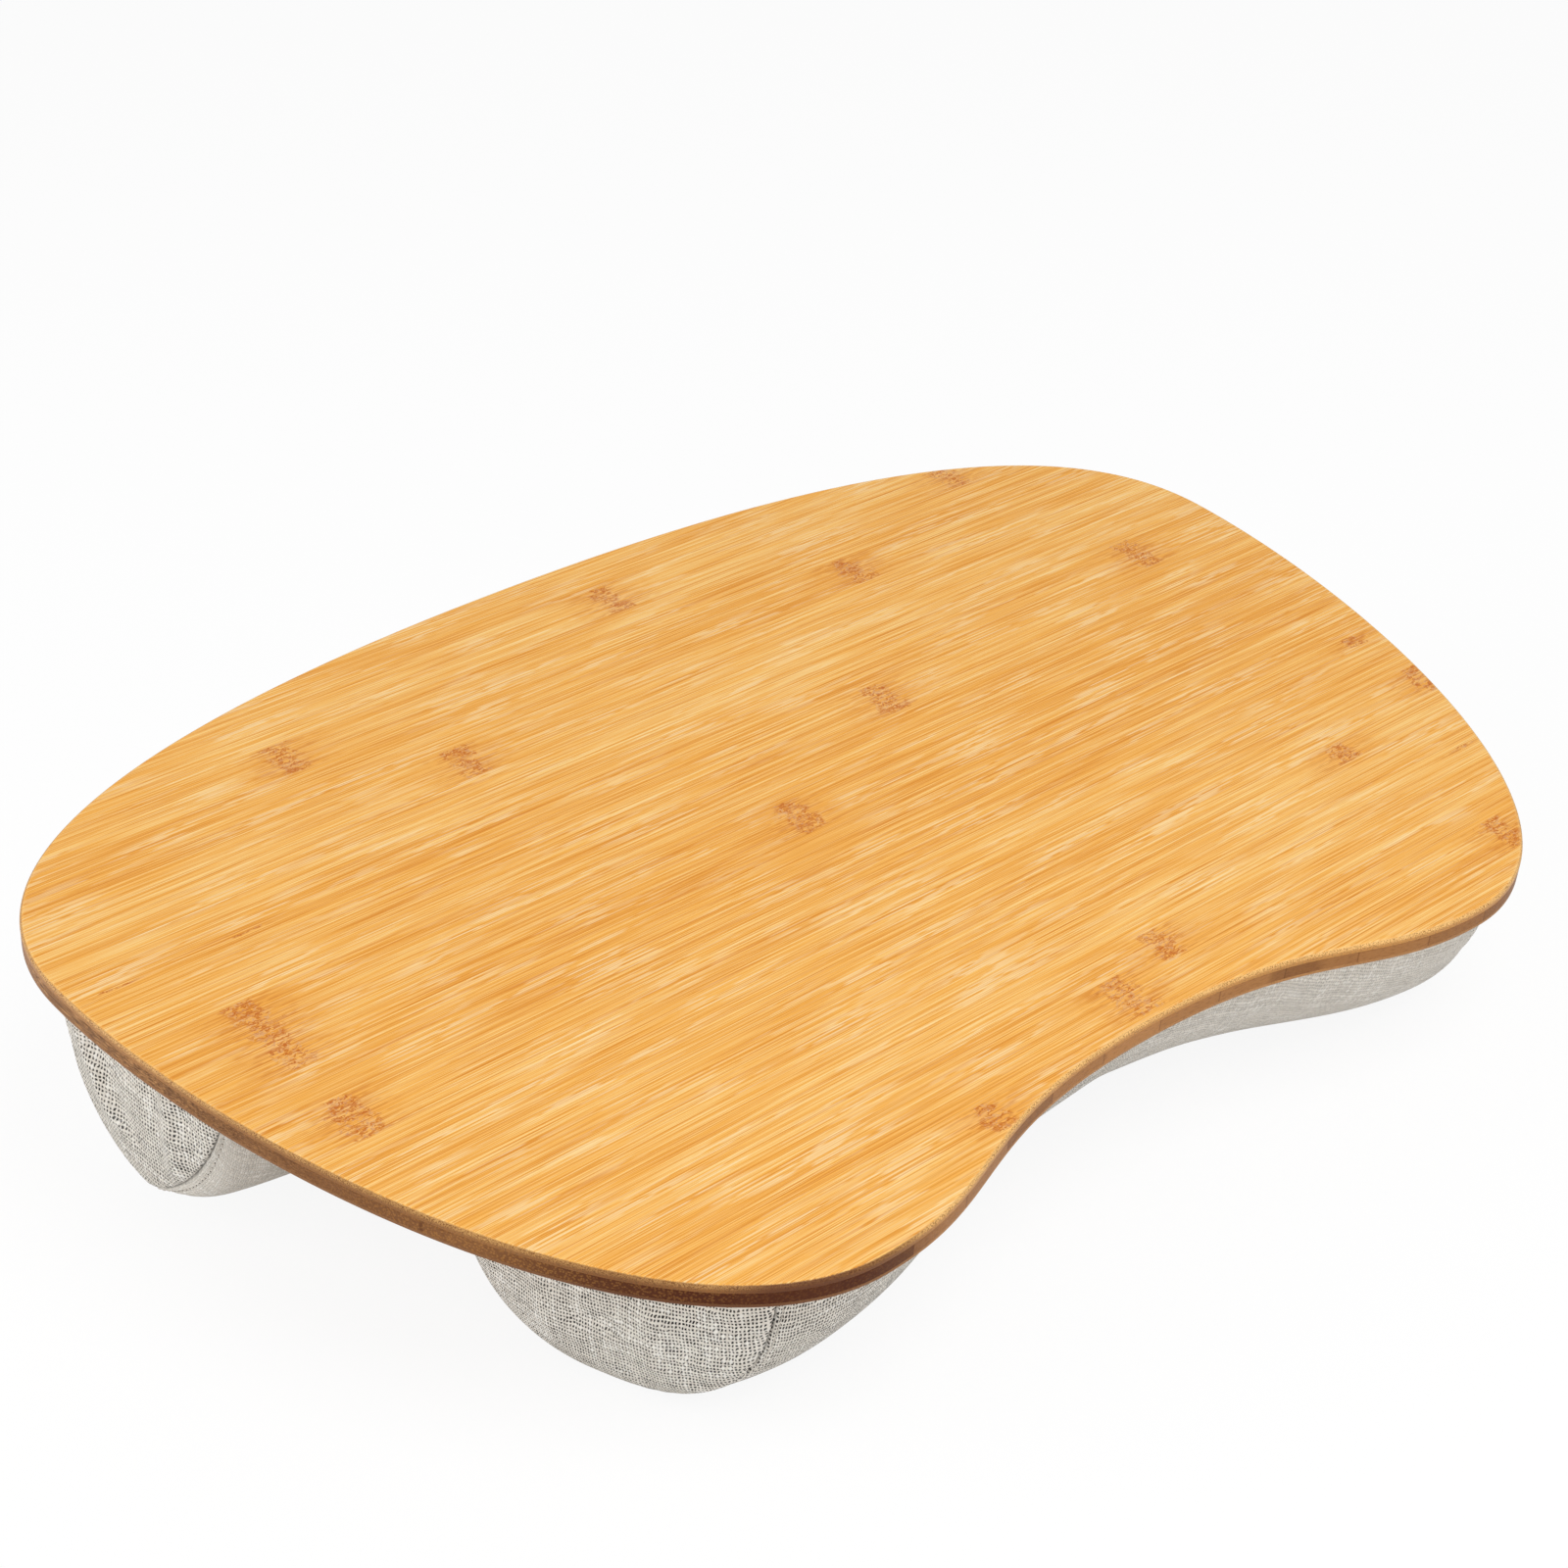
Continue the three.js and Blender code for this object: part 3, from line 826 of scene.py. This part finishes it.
def frontNear(place):
    x = place * (lobeX + coverPlan["frontNear"]["pastLobe"])
    return np.stack([x, frontEdgeY(x) + coverPlan["frontNear"]["inset"]], axis=1)


def straightAcross(place, fromFront, inset):
    y = frontY + fromFront
    x = place * (sideEdgeX(y) - inset)
    return np.stack([x, np.full_like(x, y)], axis=1)


def frontFar(place):
    return straightAcross(place, **coverPlan["frontFar"])


def rearNear(place):
    return straightAcross(place, **coverPlan["rearNear"])


def rearFar(place):
    x = place * (halfWidth - coverPlan["rearFar"]["sideInset"])
    return np.stack([x, rearEdgeY(x) - coverPlan["rearFar"]["inset"]], axis=1)


frontBolster = {
    "near": frontNear,
    "far": frontFar,
    "middleHeight": 49.1,
    "endHeight": 65.9,
    "skew": 3.3,
    "fullness": (2.4, 2.15),
    "nearFullness": (2.0, 2.7),
    "rimStraight": 0.0,
    "ramp": 1.37,
    "endBulge": 18.0,
    "endRoundness": 1.86,
    # folds on the end panels: place across, lean per millimetre down, width, height
    "folds": [(34.0, 0.05, 6.0, 0.7), (74.0, -0.1, 7.0, 0.8)],
    "fill": 0.75,
    "looseness": 0.003,
    # how dark the painted shade in the needle holes is
    "needleHoleShade": 0.3,
    # width of the painted shade along the seam, then the seam's depth
    "seamShadeWidth": 0.42,
    "seamDepth": 1.0,
    # how open the weave is at these x, on the end panels and on the wrap, partly painted light and shade
    # through the dark of its gaps; and how far it is stretched across the end panels
    "openAt": (-150, -60, 40, 200),
    "openPanelShade": (1.3, 1.1, 0.8, 0.7),
    "openWrapShade": (1.65, 1.4, 0.45, 0.4),
    "stretch": 1.0,
    "seed": 5,
}
rearBolster = {
    "near": rearNear,
    "far": rearFar,
    "middleHeight": 90.0,
    "endHeight": 76.0,
    "skew": 0.0,
    "fullness": (2.6, 2.27),
    "nearFullness": (2.6, 2.3),
    "rimStraight": 0.85,
    "ramp": 10.5,
    "endBulge": 3.0,
    "endRoundness": 2.24,
    "folds": [(31.0, 0.0, 5.5, 2.5), (88.0, -0.62, 6.5, 2.3)],
    "fill": 0.75,
    "looseness": 0.0015,
    # how dark the painted shade in the needle holes is
    "needleHoleShade": 1.0,
    # width of the painted shade along the seam, then the seam's depth
    "seamShadeWidth": 0.26,
    "seamDepth": 0.55,
    # openness of the weave, partly painted light: few dark gaps on the wrap's shaded left lighten it
    "openAt": (-250, -150, 150, 250),
    "openPanelShade": (1.25, 1.2, 0.9, 0.75),
    "openWrapShade": (0.2, 0.45, 0.7, 0.6),
    "stretch": 1.35,
    "seed": 11,
}


def coverSurface(form, along, angles):
    # along runs 0 to 1 over the left end panel, 1 to 2 over the wrap, 2 to 3 over the right end panel.
    # The wrap is a half superellipse hung between its two top edges. An end panel is the last section drawn
    # in to the middle of its top edge by cos theta and pushed outwards by sin theta, each to the power 2/k.
    # The skew carries the deepest part of the ends back from the sitter.
    place = np.clip(2 * (along - 1) - 1, -1, 1)
    theta = np.maximum(np.maximum(1 - along, along - 2), 0) * math.pi / 2
    near = form["near"](place)
    far = form["far"](place)
    size = np.abs(place)
    height = partWay(form["middleHeight"], form["endHeight"], 1 - (1 - size ** form["ramp"]) ** 2)
    blendOut = size ** coverPlan["endPower"]
    full = partWay(*form["fullness"], blendOut)
    nearFull = partWay(*form["nearFullness"], blendOut) - form["rimStraight"] * size ** coverPlan["rimPower"]
    power = np.where(angles[None] < math.pi / 2, 2 / nearFull[:, None], 2 / full[:, None])
    cosine = np.cos(angles)[None]
    across = np.sign(cosine) * np.abs(cosine) ** power
    down = np.clip(np.sin(angles), 0, 1)[None] ** power
    middle = (near + far) / 2
    half = (far - near) / 2
    back = unit(half) * (form["skew"] * blendOut)[:, None]
    level = middle[:, None] - half[:, None] * across[..., None] + back[:, None] * down[..., None]
    rim = np.concatenate([level, (bolsterTop - height[:, None] * down)[..., None]], axis=2)
    crown = np.concatenate([middle, np.full((len(along), 1), bolsterTop)], axis=1)[:, None]
    k = form["endRoundness"]
    ring = np.clip(np.cos(theta), 0, 1) ** (2 / k)
    rise = form["endBulge"] * np.clip(np.sin(theta), 0, 1) ** (2 / k)
    side = np.where(along < 1.5, -1.0, 1.0)
    chord = far - near
    outward = np.stack([chord[:, 1], -chord[:, 0], np.zeros(len(along))], axis=1)
    outward *= (side / np.linalg.norm(chord, axis=1))[:, None]
    points = crown + (rim - crown) * ring[:, None, None] + (outward * rise[:, None])[:, None]
    return points, chord


def settled(points):
    # metres, with heights that meet the floor in a soft bend: half of z plus the root of z squared and the
    # bend squared
    world = onDesk(points.reshape(-1, 3))
    height = world[:, 2]
    world[:, 2] = 0.5 * (height + np.sqrt(height ** 2 + coverPlan["floorBend"] ** 2))
    return world.tolist()


clothSettings = {
    "quality": 6,
    "mass": 0.2,
    "tension_stiffness": 12,
    "compression_stiffness": 12,
    "shear_stiffness": 4,
    "bending_stiffness": 0.4,
    "use_pressure": True,
    "uniform_pressure_force": 1.1,
    "vertex_group_mass": "held",
}
stuffing = {
    "steps": 20,
    # unevenness at the start and the most that a point may move, in millimetres
    "roughness": 0.2,
    "cap": 1.2,
    "evenings": 2,
    "panelFrom": 0.08,
    "panelRows": 9,
    "wrapRows": 61,
    "columns": 37,
}


def simulateStuffing(form, along, angles):
    # the cover as cloth held along its top edges and pressed out from inside; gives how far each point moved
    points = coverSurface(form, along, angles)[0]
    rows, columns = points.shape[:2]
    rough = np.random.default_rng(form["seed"]).normal(0, stuffing["roughness"], (rows, columns, 1))
    start = points + gridNormals(points) * rough
    start[:, [0, -1]] = points[:, [0, -1]]
    mesh = bpy.data.meshes.new("stuffing")
    mesh.from_pydata((start.reshape(-1, 3) / 1000).tolist(), [], gridQuads(rows, columns).tolist())
    trial = bpy.data.objects.new("stuffing", mesh)
    scene.collection.objects.link(trial)
    held = np.arange(rows * columns).reshape(rows, columns)
    heldPoints = np.concatenate([held[:, 0], held[:, -1], held[0], held[-1]])
    trial.vertex_groups.new(name="held").add(np.unique(heldPoints).tolist(), 1.0, "REPLACE")
    cloth = trial.modifiers.new("cloth", "CLOTH")
    for key, value in clothSettings.items():
        setattr(cloth.settings, key, value)
    cloth.settings.shrink_min = -form["looseness"]
    cloth.settings.effector_weights.gravity = 0
    cloth.collision_settings.use_collision = False
    for step in range(1, stuffing["steps"] + 1):
        scene.frame_set(step)
    pressed = trial.evaluated_get(bpy.context.evaluated_depsgraph_get()).to_mesh()
    co = np.zeros(rows * columns * 3, np.float32)
    pressed.vertices.foreach_get("co", co)
    bpy.data.objects.remove(trial)
    bpy.data.meshes.remove(mesh)
    scene.frame_set(1)
    moved = co.reshape(rows, columns, 3).astype(float) * 1000 - start
    length = np.linalg.norm(moved, axis=2, keepdims=True)
    print("lap desk: stuffing moved", np.percentile(length, (50, 90, 100)).round(2), "mm")
    moved *= np.minimum(1, stuffing["cap"] / np.maximum(length, 1e-6))
    # even it out along and down the section: half of each point's move comes from its neighbours
    for turn in range(stuffing["evenings"]):
        moved[1:-1] = (moved[:-2] + 2 * moved[1:-1] + moved[2:]) / 4
        moved[:, 1:-1] = (moved[:, :-2] + 2 * moved[:, 1:-1] + moved[:, 2:]) / 4
    return moved


def spline(values, at):
    # smooth curve through evenly spaced values along the first axis, read at fractional steps
    last = len(values) - 1
    start = np.clip(np.floor(at).astype(int), 0, last - 1)
    t = (at - start).reshape(-1, *[1] * (values.ndim - 1))
    p0 = values[np.clip(start - 1, 0, last)]
    p1 = values[start]
    p2 = values[start + 1]
    p3 = values[np.clip(start + 2, 0, last)]
    bent = 2 * p0 - 5 * p1 + 4 * p2 - p3
    return 0.5 * (2 * p1 + (p2 - p0) * t + bent * t * t + (3 * p1 - p0 - 3 * p2 + p3) * t ** 3)


def stuffedMove(form, along, angles):
    # the move of a coarser cover, read off smoothly at the finer grid
    panelFrom, panelRows, columns = stuffing["panelFrom"], stuffing["panelRows"], stuffing["columns"]
    coarse = np.concatenate([
        np.linspace(panelFrom, 1, panelRows)[:-1],
        np.linspace(1, 2, stuffing["wrapRows"])[:-1],
        np.linspace(2, 3 - panelFrom, panelRows),
    ])
    moved = simulateStuffing(form, coarse, np.linspace(0, math.pi, columns))
    moved = spline(moved, np.interp(along, coarse, np.arange(len(coarse))))
    return spline(moved.swapaxes(0, 1), angles / math.pi * (columns - 1)).swapaxes(0, 1)


coverGrid = {
    # places of the first rows beside a seam, in millimetres, and the grid further off
    "besideWrap": (0, 0.35, 0.7, 1.1, 1.6, 2.2, 3.0, 4.0, 5.2, 6.8, 8.6),
    "besidePanel": (0, 0.35, 0.7, 1.1, 1.6, 2.2, 3.0, 3.8, 4.5),
    "panelShare": 0.9,
    "wrapFrom": 11,
    "wrapStep": 2.2,
    "panelRows": 34,
    "columns": 109,
    "sharpFrom": 75,
    # the cloth maps of the two end panels lie this far to either side
    "mapShift": 1000,
    "mergeWithin": 1e-6,
}


def coverRows(form):
    # rows crowd at the two seams, where the cloth turns in
    near = form["near"](np.array([-1.0, 1.0]))
    length = near[1, 0] - near[0, 0]
    evenly = np.arange(coverGrid["wrapFrom"], length / 2, coverGrid["wrapStep"])
    wrapSteps = np.concatenate([coverGrid["besideWrap"], evenly]) / length
    wrap = np.concatenate([1 + wrapSteps, [1.5], 2 - wrapSteps[::-1]])
    rises = np.array(coverGrid["besidePanel"]) / form["endBulge"]
    rises = rises[rises < coverGrid["panelShare"]]
    theta = np.arcsin(np.clip(rises, 0, 1) ** (form["endRoundness"] / 2)) / (math.pi / 2)
    panel = np.concatenate([theta, np.linspace(theta[-1], 1, coverGrid["panelRows"])[1:]])
    return np.concatenate([1 - panel[::-1], wrap[1:-1], 2 + panel])


# A wave along the seam has a pitch, a stray of its phase and the pitch of that stray. A hump has a height, a
# place and a width. Lengths are in millimetres, and places round the section run from 0 at the front to 1.
seamForm = {
    "wander": 0.16,
    "wanderWave": (5.3, 2, 19),
    "valleyWidth": 0.4,
    "dip": 0.3,
    "dipReach": 3.0,
    "shallowAt": (0.25, 0.45),
    "shallowBy": 0.7,
    "turnedEdge": (0.4, 1.4, 0.7),
    "stitchPull": (-0.35, 2.6, 0.6),
    # the painted shade in the crease grows and fades along the seam by this wave
    "creaseShadeWave": (7.1, 1.3, 29),
    "creaseShadeChange": 0.2,
    "pucker": 0.4,
    "puckerWave": (8.3, 1.7, 37),
    "finePucker": 0.6,
    "finePuckerWave": (5.1, 2.3, 23),
    "puckerSpread": 61,
    "puckerChange": 0.45,
    "puckerReach": 7.0,
    "puckerFrom": 0.9,
    "puckerAt": (0.5, 0.3),
    "topFade": 0.12,
}
foldForm = {
    "leanFrom": 25,
    # hollows on both sides of a fold: depth, and place and width in fold widths
    "hollow": (0.35, 1.7, 1),
    # folds fade towards the seam, the top edge and the lowest part
    "seamFade": 8,
    "topFade": 10,
    "lowFade": (0.95, 0.6),
}


def hump(value, height, place, width):
    # bell curve: e to minus the square of the distance from the place over the width
    return height * np.exp(-((value - place) / width) ** 2)


def swing(run, pitch, stray, strayPitch, phase=0.0):
    # a wave of the given pitch whose phase itself swings over a longer pitch
    turn = 2 * math.pi * run
    return np.sin(turn / pitch + stray * np.sin(turn / strayPitch + phase))


def seamRelief(form, angles, offset, seamRun, onPanel, sign):
    # how far the cloth moves out beside one seam, and how dark the painted shade in its crease is, by the
    # distance from the seam and the length run along it
    gap = np.abs(offset)
    around = angles / math.pi
    # the seam is a narrow valley in a broader dip
    seamGap = np.abs(offset - seamForm["wander"] * swing(seamRun, *seamForm["wanderWave"]))
    valley = hump(seamGap, form["seamDepth"], 0, seamForm["valleyWidth"])
    valley = valley + seamForm["dip"] * np.exp(-gap / seamForm["dipReach"])
    valley = valley * (1 - seamForm["shallowBy"] * smoothStep(*seamForm["shallowAt"], around))
    # on the wrap a turned-in edge makes a low ridge, and the stitches pull the cloth down beyond it
    ridge = hump(gap, *seamForm["turnedEdge"]) + hump(gap, *seamForm["stitchPull"])
    valley = valley - np.where(onPanel, 0, ridge)
    # puckers: short waves along the seam that die away from it
    wave = swing(seamRun, *seamForm["puckerWave"], sign)
    wave = wave + seamForm["finePucker"] * swing(seamRun, *seamForm["finePuckerWave"])
    spread = np.sin(2 * math.pi * seamRun / seamForm["puckerSpread"] + 2 * sign)
    strength = seamForm["pucker"] * partWay(1, spread, seamForm["puckerChange"])
    reach = np.exp(-gap / seamForm["puckerReach"]) * (1 - np.exp(-gap / seamForm["puckerFrom"]))
    pucker = wave * strength * reach * smoothStep(*seamForm["puckerAt"], around)
    # painted shade in the seam's crease, stronger and weaker along the seam
    creaseShadeStrength = partWay(1, swing(seamRun, *seamForm["creaseShadeWave"]), seamForm["creaseShadeChange"])
    shift = (pucker - valley) * np.clip(np.sin(angles) / seamForm["topFade"], 0, 1)
    return shift, hump(seamGap, creaseShadeStrength, 0, form["seamShadeWidth"])


def foldRelief(form, across, deep, gap, lowest):
    # folds hang from the board's edge down the end panel: each a hump with a hollow on both sides
    fade = smoothStep(0, foldForm["seamFade"], gap) * smoothStep(0, foldForm["topFade"], deep)
    fade = fade * smoothStep(*foldForm["lowFade"], deep / lowest)
    relief = np.zeros_like(deep)
    for place, slant, width, height in form["folds"]:
        off = (across - place - slant * (deep - foldForm["leanFrom"])) / width
        relief = relief + height * (hump(off, 1, 0, 1) - hump(np.abs(off), *foldForm["hollow"])) * fade
    return relief


def makeCover(name, form, replaced):
    # the covering surface, swollen by its stuffing, with seams and folds raised along its normals
    along = coverRows(form)
    angles = np.linspace(0, math.pi, coverGrid["columns"])
    points, chord = coverSurface(form, along, angles)
    rows, columns = points.shape[:2]
    points = points + stuffedMove(form, along, angles)
    normal = gridNormals(points)
    seamRows = [int(np.argmin(np.abs(along - seam))) for seam in (1, 2)]
    cloth = points.copy()
    creaseShade = np.zeros((rows, columns))
    deep = bolsterTop - points[..., 2]
    # cloth map: along the desk and round the section on the wrap, flat on the end panels
    rowRun = runLength(points)
    sectionRun = runLength(points, axis=1)
    middleRun = sectionRun[:, columns // 2, None]
    maps = [np.stack([rowRun - rowRun[rows // 2], sectionRun - middleRun], axis=2)]
    for seamRow, sign, panel in zip(seamRows, (-1, 1), (along < 1, along > 2)):
        onPanel = panel[:, None]
        # distance from the seam, along the rows of each column
        offset = rowRun - rowRun[seamRow]
        seamRun = runLength(points[seamRow])
        shift, dark = seamRelief(form, angles, offset, seamRun, onPanel, sign)
        creaseShade = np.maximum(creaseShade, dark)
        corner = form["near"](np.array([float(sign)]))[0]
        across = (points[..., :2] - corner) @ unit(chord[seamRow])
        folds = foldRelief(form, across, deep, np.abs(offset), deep[seamRow].max())
        cloth = cloth + normal * (shift + np.where(onPanel, folds, 0))[..., None]
        mapX = across / form["stretch"] + coverGrid["mapShift"] * sign
        maps.append(np.stack([mapX, points[..., 2]], axis=2))
    cloth[:, [0, -1]] = points[:, [0, -1]]
    quads = gridQuads(rows, columns)
    # the lid under the board joins the last column to the first
    lid = gridQuads(rows, columns, closed=True)[columns - 1::columns]
    faces = np.concatenate([quads, lid])
    piece = meshPiece(name, settled(cloth), faces.tolist(), linenMaterial)
    # how dark the painted shade in the seam creases is
    pointValue(piece, "creaseShade", creaseShade)
    onWrap = (along[:, None] >= 1) & (along[:, None] <= 2)
    # the weave's openness by x, partly painted light and shade through the dark of its gaps
    openWrapShade = np.interp(points[..., 0], form["openAt"], form["openWrapShade"])
    openPanelShade = np.interp(points[..., 0], form["openAt"], form["openPanelShade"])
    pointValue(piece, "opennessAndShade", np.where(onWrap, openWrapShade, openPanelShade))
    faceRow = faces.min(axis=1) // columns
    maps = [grid.reshape(-1, 2) / 1000 for grid in maps]
    uv = maps[0][faces]
    for grid, chosen in zip(maps[1:], (faceRow < seamRows[0], faceRow >= seamRows[1])):
        uv[chosen] = grid[faces[chosen]]
    uv[len(quads):] = (points[..., :2].reshape(-1, 2) / 1000)[lid]
    layer = piece.data.uv_layers.new(name="clothMap")
    layer.data.foreach_set("uv", uv.astype(np.float32).ravel())
    merged = bmesh.new()
    merged.from_mesh(piece.data)
    bmesh.ops.remove_doubles(merged, verts=merged.verts, dist=coverGrid["mergeWithin"])
    merged.to_mesh(piece.data)
    merged.free()
    piece.data.set_sharp_from_angle(angle=math.radians(coverGrid["sharpFrom"]))
    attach(piece, "root")
    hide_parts(*replaced)
    return piece, cloth, seamRows


stitching = {
    "fromSeam": 2.6,
    "pitch": 3.4,
    "length": 2.5,
    "thickness": 0.6,
    # how far from the two ends of the seam the stitches keep
    "margins": (4, 6),
    # the middle rises out of the cloth and the ends sink in, by these thicknesses, and the ends are thinner
    "rise": 0.4,
    "sink": 0.12,
    "endThickness": 0.75,
    "rowsTried": 8,
    "steps": 6,
    "sides": 6,
    "color": tint(222, 216, 206),
    "shade": tint(176, 168, 156),
    # painted shade of the needle holes
    "holeShade": tint(58, 50, 42),
    "turnsScale": 2600.0,
    "surface": {"Roughness": 0.85},
    "bump": (0.3, 0.0002),
}


def makeThread():
    # sewing thread: fine turns of ply, and painted shade for the needle holes at the stitch's ends
    material, tree, shader = newMaterial("sewingThread")
    place = addNode(tree, "ShaderNodeTexCoord").outputs["Object"]
    turns = noiseOf(place, stitching["turnsScale"], 1.0)
    color = blendColor(remap(turns, 0.35, 0.65), stitching["shade"], stitching["color"])
    color = blendColor(attributeOf(tree, "holeShade"), color, stitching["holeShade"])
    finishSurface(shader, stitching, color, turns)
    return material


threadMaterial = makeThread()


def makeStitching(name, cloth, seamRows, darkness):
    # Each stitch is a short tube along the row beside the seam: a half wave that rises out of the cloth and
    # dips back in, with a circle of points round it that narrows at both ends. The ends are painted dark as
    # the shade in the needle holes.
    normal = gridNormals(cloth)
    steps, sides = stitching["steps"], stitching["sides"]
    startMargin, endMargin = stitching["margins"]
    t = np.linspace(0, 1, steps)
    wave = np.sin(t * math.pi)
    lift = (wave * stitching["rise"] - stitching["sink"]) * stitching["thickness"]
    radius = stitching["thickness"] / 2 * partWay(stitching["endThickness"], 1, wave)
    turn = (np.arange(sides) / sides * 2 * math.pi)[:, None]
    allPoints = []
    for seamRow, sign in zip(seamRows, (1, -1)):
        rowsNear = seamRow + sign * np.arange(1, stitching["rowsTried"] + 1)
        gaps = np.linalg.norm(cloth[rowsNear] - cloth[seamRow][None], axis=2).mean(axis=1)
        row = rowsNear[int(np.argmin(np.abs(gaps - stitching["fromSeam"])))]
        run = runLength(cloth[row])
        starts = np.arange(startMargin, run[-1] - endMargin, stitching["pitch"])
        at = starts[:, None] + t[None] * stitching["length"]
        centre = np.stack([np.interp(at, run, cloth[row][:, i]) for i in range(3)], axis=2)
        up = unit(np.stack([np.interp(at, run, normal[row][:, i]) for i in range(3)], axis=2))
        beside = np.cross(unit(np.gradient(centre, axis=1)), up)
        centre = centre + up * lift[:, None]
        ringOut = up[:, :, None] * np.cos(turn) + beside[:, :, None] * np.sin(turn)
        allPoints.append(centre[:, :, None] + ringOut * radius[:, None, None])
    tubes = np.concatenate(allPoints)
    count = len(tubes)
    base = (np.arange(count) * steps * sides)[:, None]
    quads = (base[..., None] + gridQuads(steps, sides, closed=True)[None]).reshape(-1, 4)
    firstRings = base + np.arange(sides)[::-1]
    lastRings = base + (steps - 1) * sides + np.arange(sides)
    faces = quads.tolist() + firstRings.tolist() + lastRings.tolist()
    piece = meshPiece(name, settled(tubes), faces, threadMaterial)
    # painted shade at both ends of each stitch, for the needle holes
    atEnds = np.zeros((count, steps, sides))
    atEnds[:, [0, -1]] = darkness
    pointValue(piece, "holeShade", atEnds)
    turned = bmesh.new()
    turned.from_mesh(piece.data)
    bmesh.ops.recalc_face_normals(turned, faces=turned.faces)
    turned.to_mesh(piece.data)
    turned.free()
    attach(piece, "root")
    print("lap desk:", name, "has", count, "stitches")


for bolsterName, form in (("front_bolster", frontBolster), ("rear_bolster", rearBolster)):
    nodeNames = [bolsterName + part for part in ("_wrap", "_left_end", "_right_end", "_base", "_filling")]
    coverPiece, coverCloth, coverSeams = makeCover(bolsterName + "_cover", form, nodeNames)
    makeStitching(bolsterName + "_stitching", coverCloth, coverSeams, form["needleHoleShade"])
    print("lap desk:", bolsterName, "cover has", len(coverPiece.data.polygons), "faces")


# Studio: pale floor, white surround, soft lamps

studio = {
    "surround": 0.55,
    "floorReach": 6.0,
    "floorLevel": -0.0004,
    "floorShadow": 0.12,
    "floorGlow": 1.02,
    "floorSurface": {"Base Color": (0.86, 0.86, 0.86, 1), "Roughness": 0.9, "Specular IOR Level": 0.1},
    "white": (1, 1, 1, 1),
    "aim": (0, 0, 0.05),
    "lamps": {
        "keyLamp": {"place": (0.05, -0.8, 1.55), "size": 1.2, "power": 11.5},
        "frontLamp": {"place": (-0.5, -1.35, 0.4), "size": 0.9, "power": 2.75},
        "leftLamp": {"place": (-1.2, 0.75, 0.4), "size": 1.0, "power": 7.4},
        "lowLamp": {"place": (-1.05, -0.8, 0.12), "size": 0.6, "power": 0.9},
    },
}


def makeFloor():
    # white for the camera, apart from a share that keeps the object's shadow
    material, tree, shader = newMaterial("paleFloor")
    for key, value in studio["floorSurface"].items():
        shader.inputs[key].default_value = value
    glow = addNode(tree, "ShaderNodeEmission", None, Color=studio["white"], Strength=studio["floorGlow"])
    rays = addNode(tree, "ShaderNodeLightPath").outputs
    seen = calc("MAXIMUM", rays["Is Camera Ray"], rays["Is Glossy Ray"])
    seen = calc("MAXIMUM", seen, rays["Is Transmission Ray"])
    share = product(seen, 1 - studio["floorShadow"])
    mixed = feed("ShaderNodeMixShader", None, share, shader.outputs[0], glow.outputs[0])
    tree.links.new(mixed, tree.nodes["Material Output"].inputs["Surface"])
    reach = studio["floorReach"]
    corners = [(-reach, -reach, 0), (reach, -reach, 0), (reach, reach, 0), (-reach, reach, 0)]
    floor = meshPiece("floor", corners, [(0, 1, 2, 3)], material)
    floor.location.z = studio["floorLevel"]


def makeSurround():
    world = bpy.data.worlds.new("surround")
    world.use_nodes = True
    scene.world = world
    tree = world.node_tree
    background = tree.nodes["Background"]
    background.inputs["Color"].default_value = studio["white"]
    rays = addNode(tree, "ShaderNodeLightPath").outputs
    seen = calc("MAXIMUM", rays["Is Camera Ray"], rays["Is Transmission Ray"])
    strength = calc("MULTIPLY_ADD", seen, 1 - studio["surround"], studio["surround"])
    tree.links.new(strength, background.inputs["Strength"])


def addLamp(name, place, size, power):
    lamp = bpy.data.lights.new(name, "AREA")
    lamp.shape = "DISK"
    lamp.size = size
    lamp.energy = power
    holder = bpy.data.objects.new(name, lamp)
    holder.location = place
    down = unit(np.array(studio["aim"]) - np.array(place))
    pitch = math.acos(-down[2])
    heading = math.atan2(down[1], down[0]) - math.pi / 2
    holder.rotation_euler = (pitch, 0, heading)
    scene.collection.objects.link(holder)


makeFloor()
makeSurround()
for lampName, lampFacts in studio["lamps"].items():
    addLamp(lampName, **lampFacts)
print("lap desk: studio set")
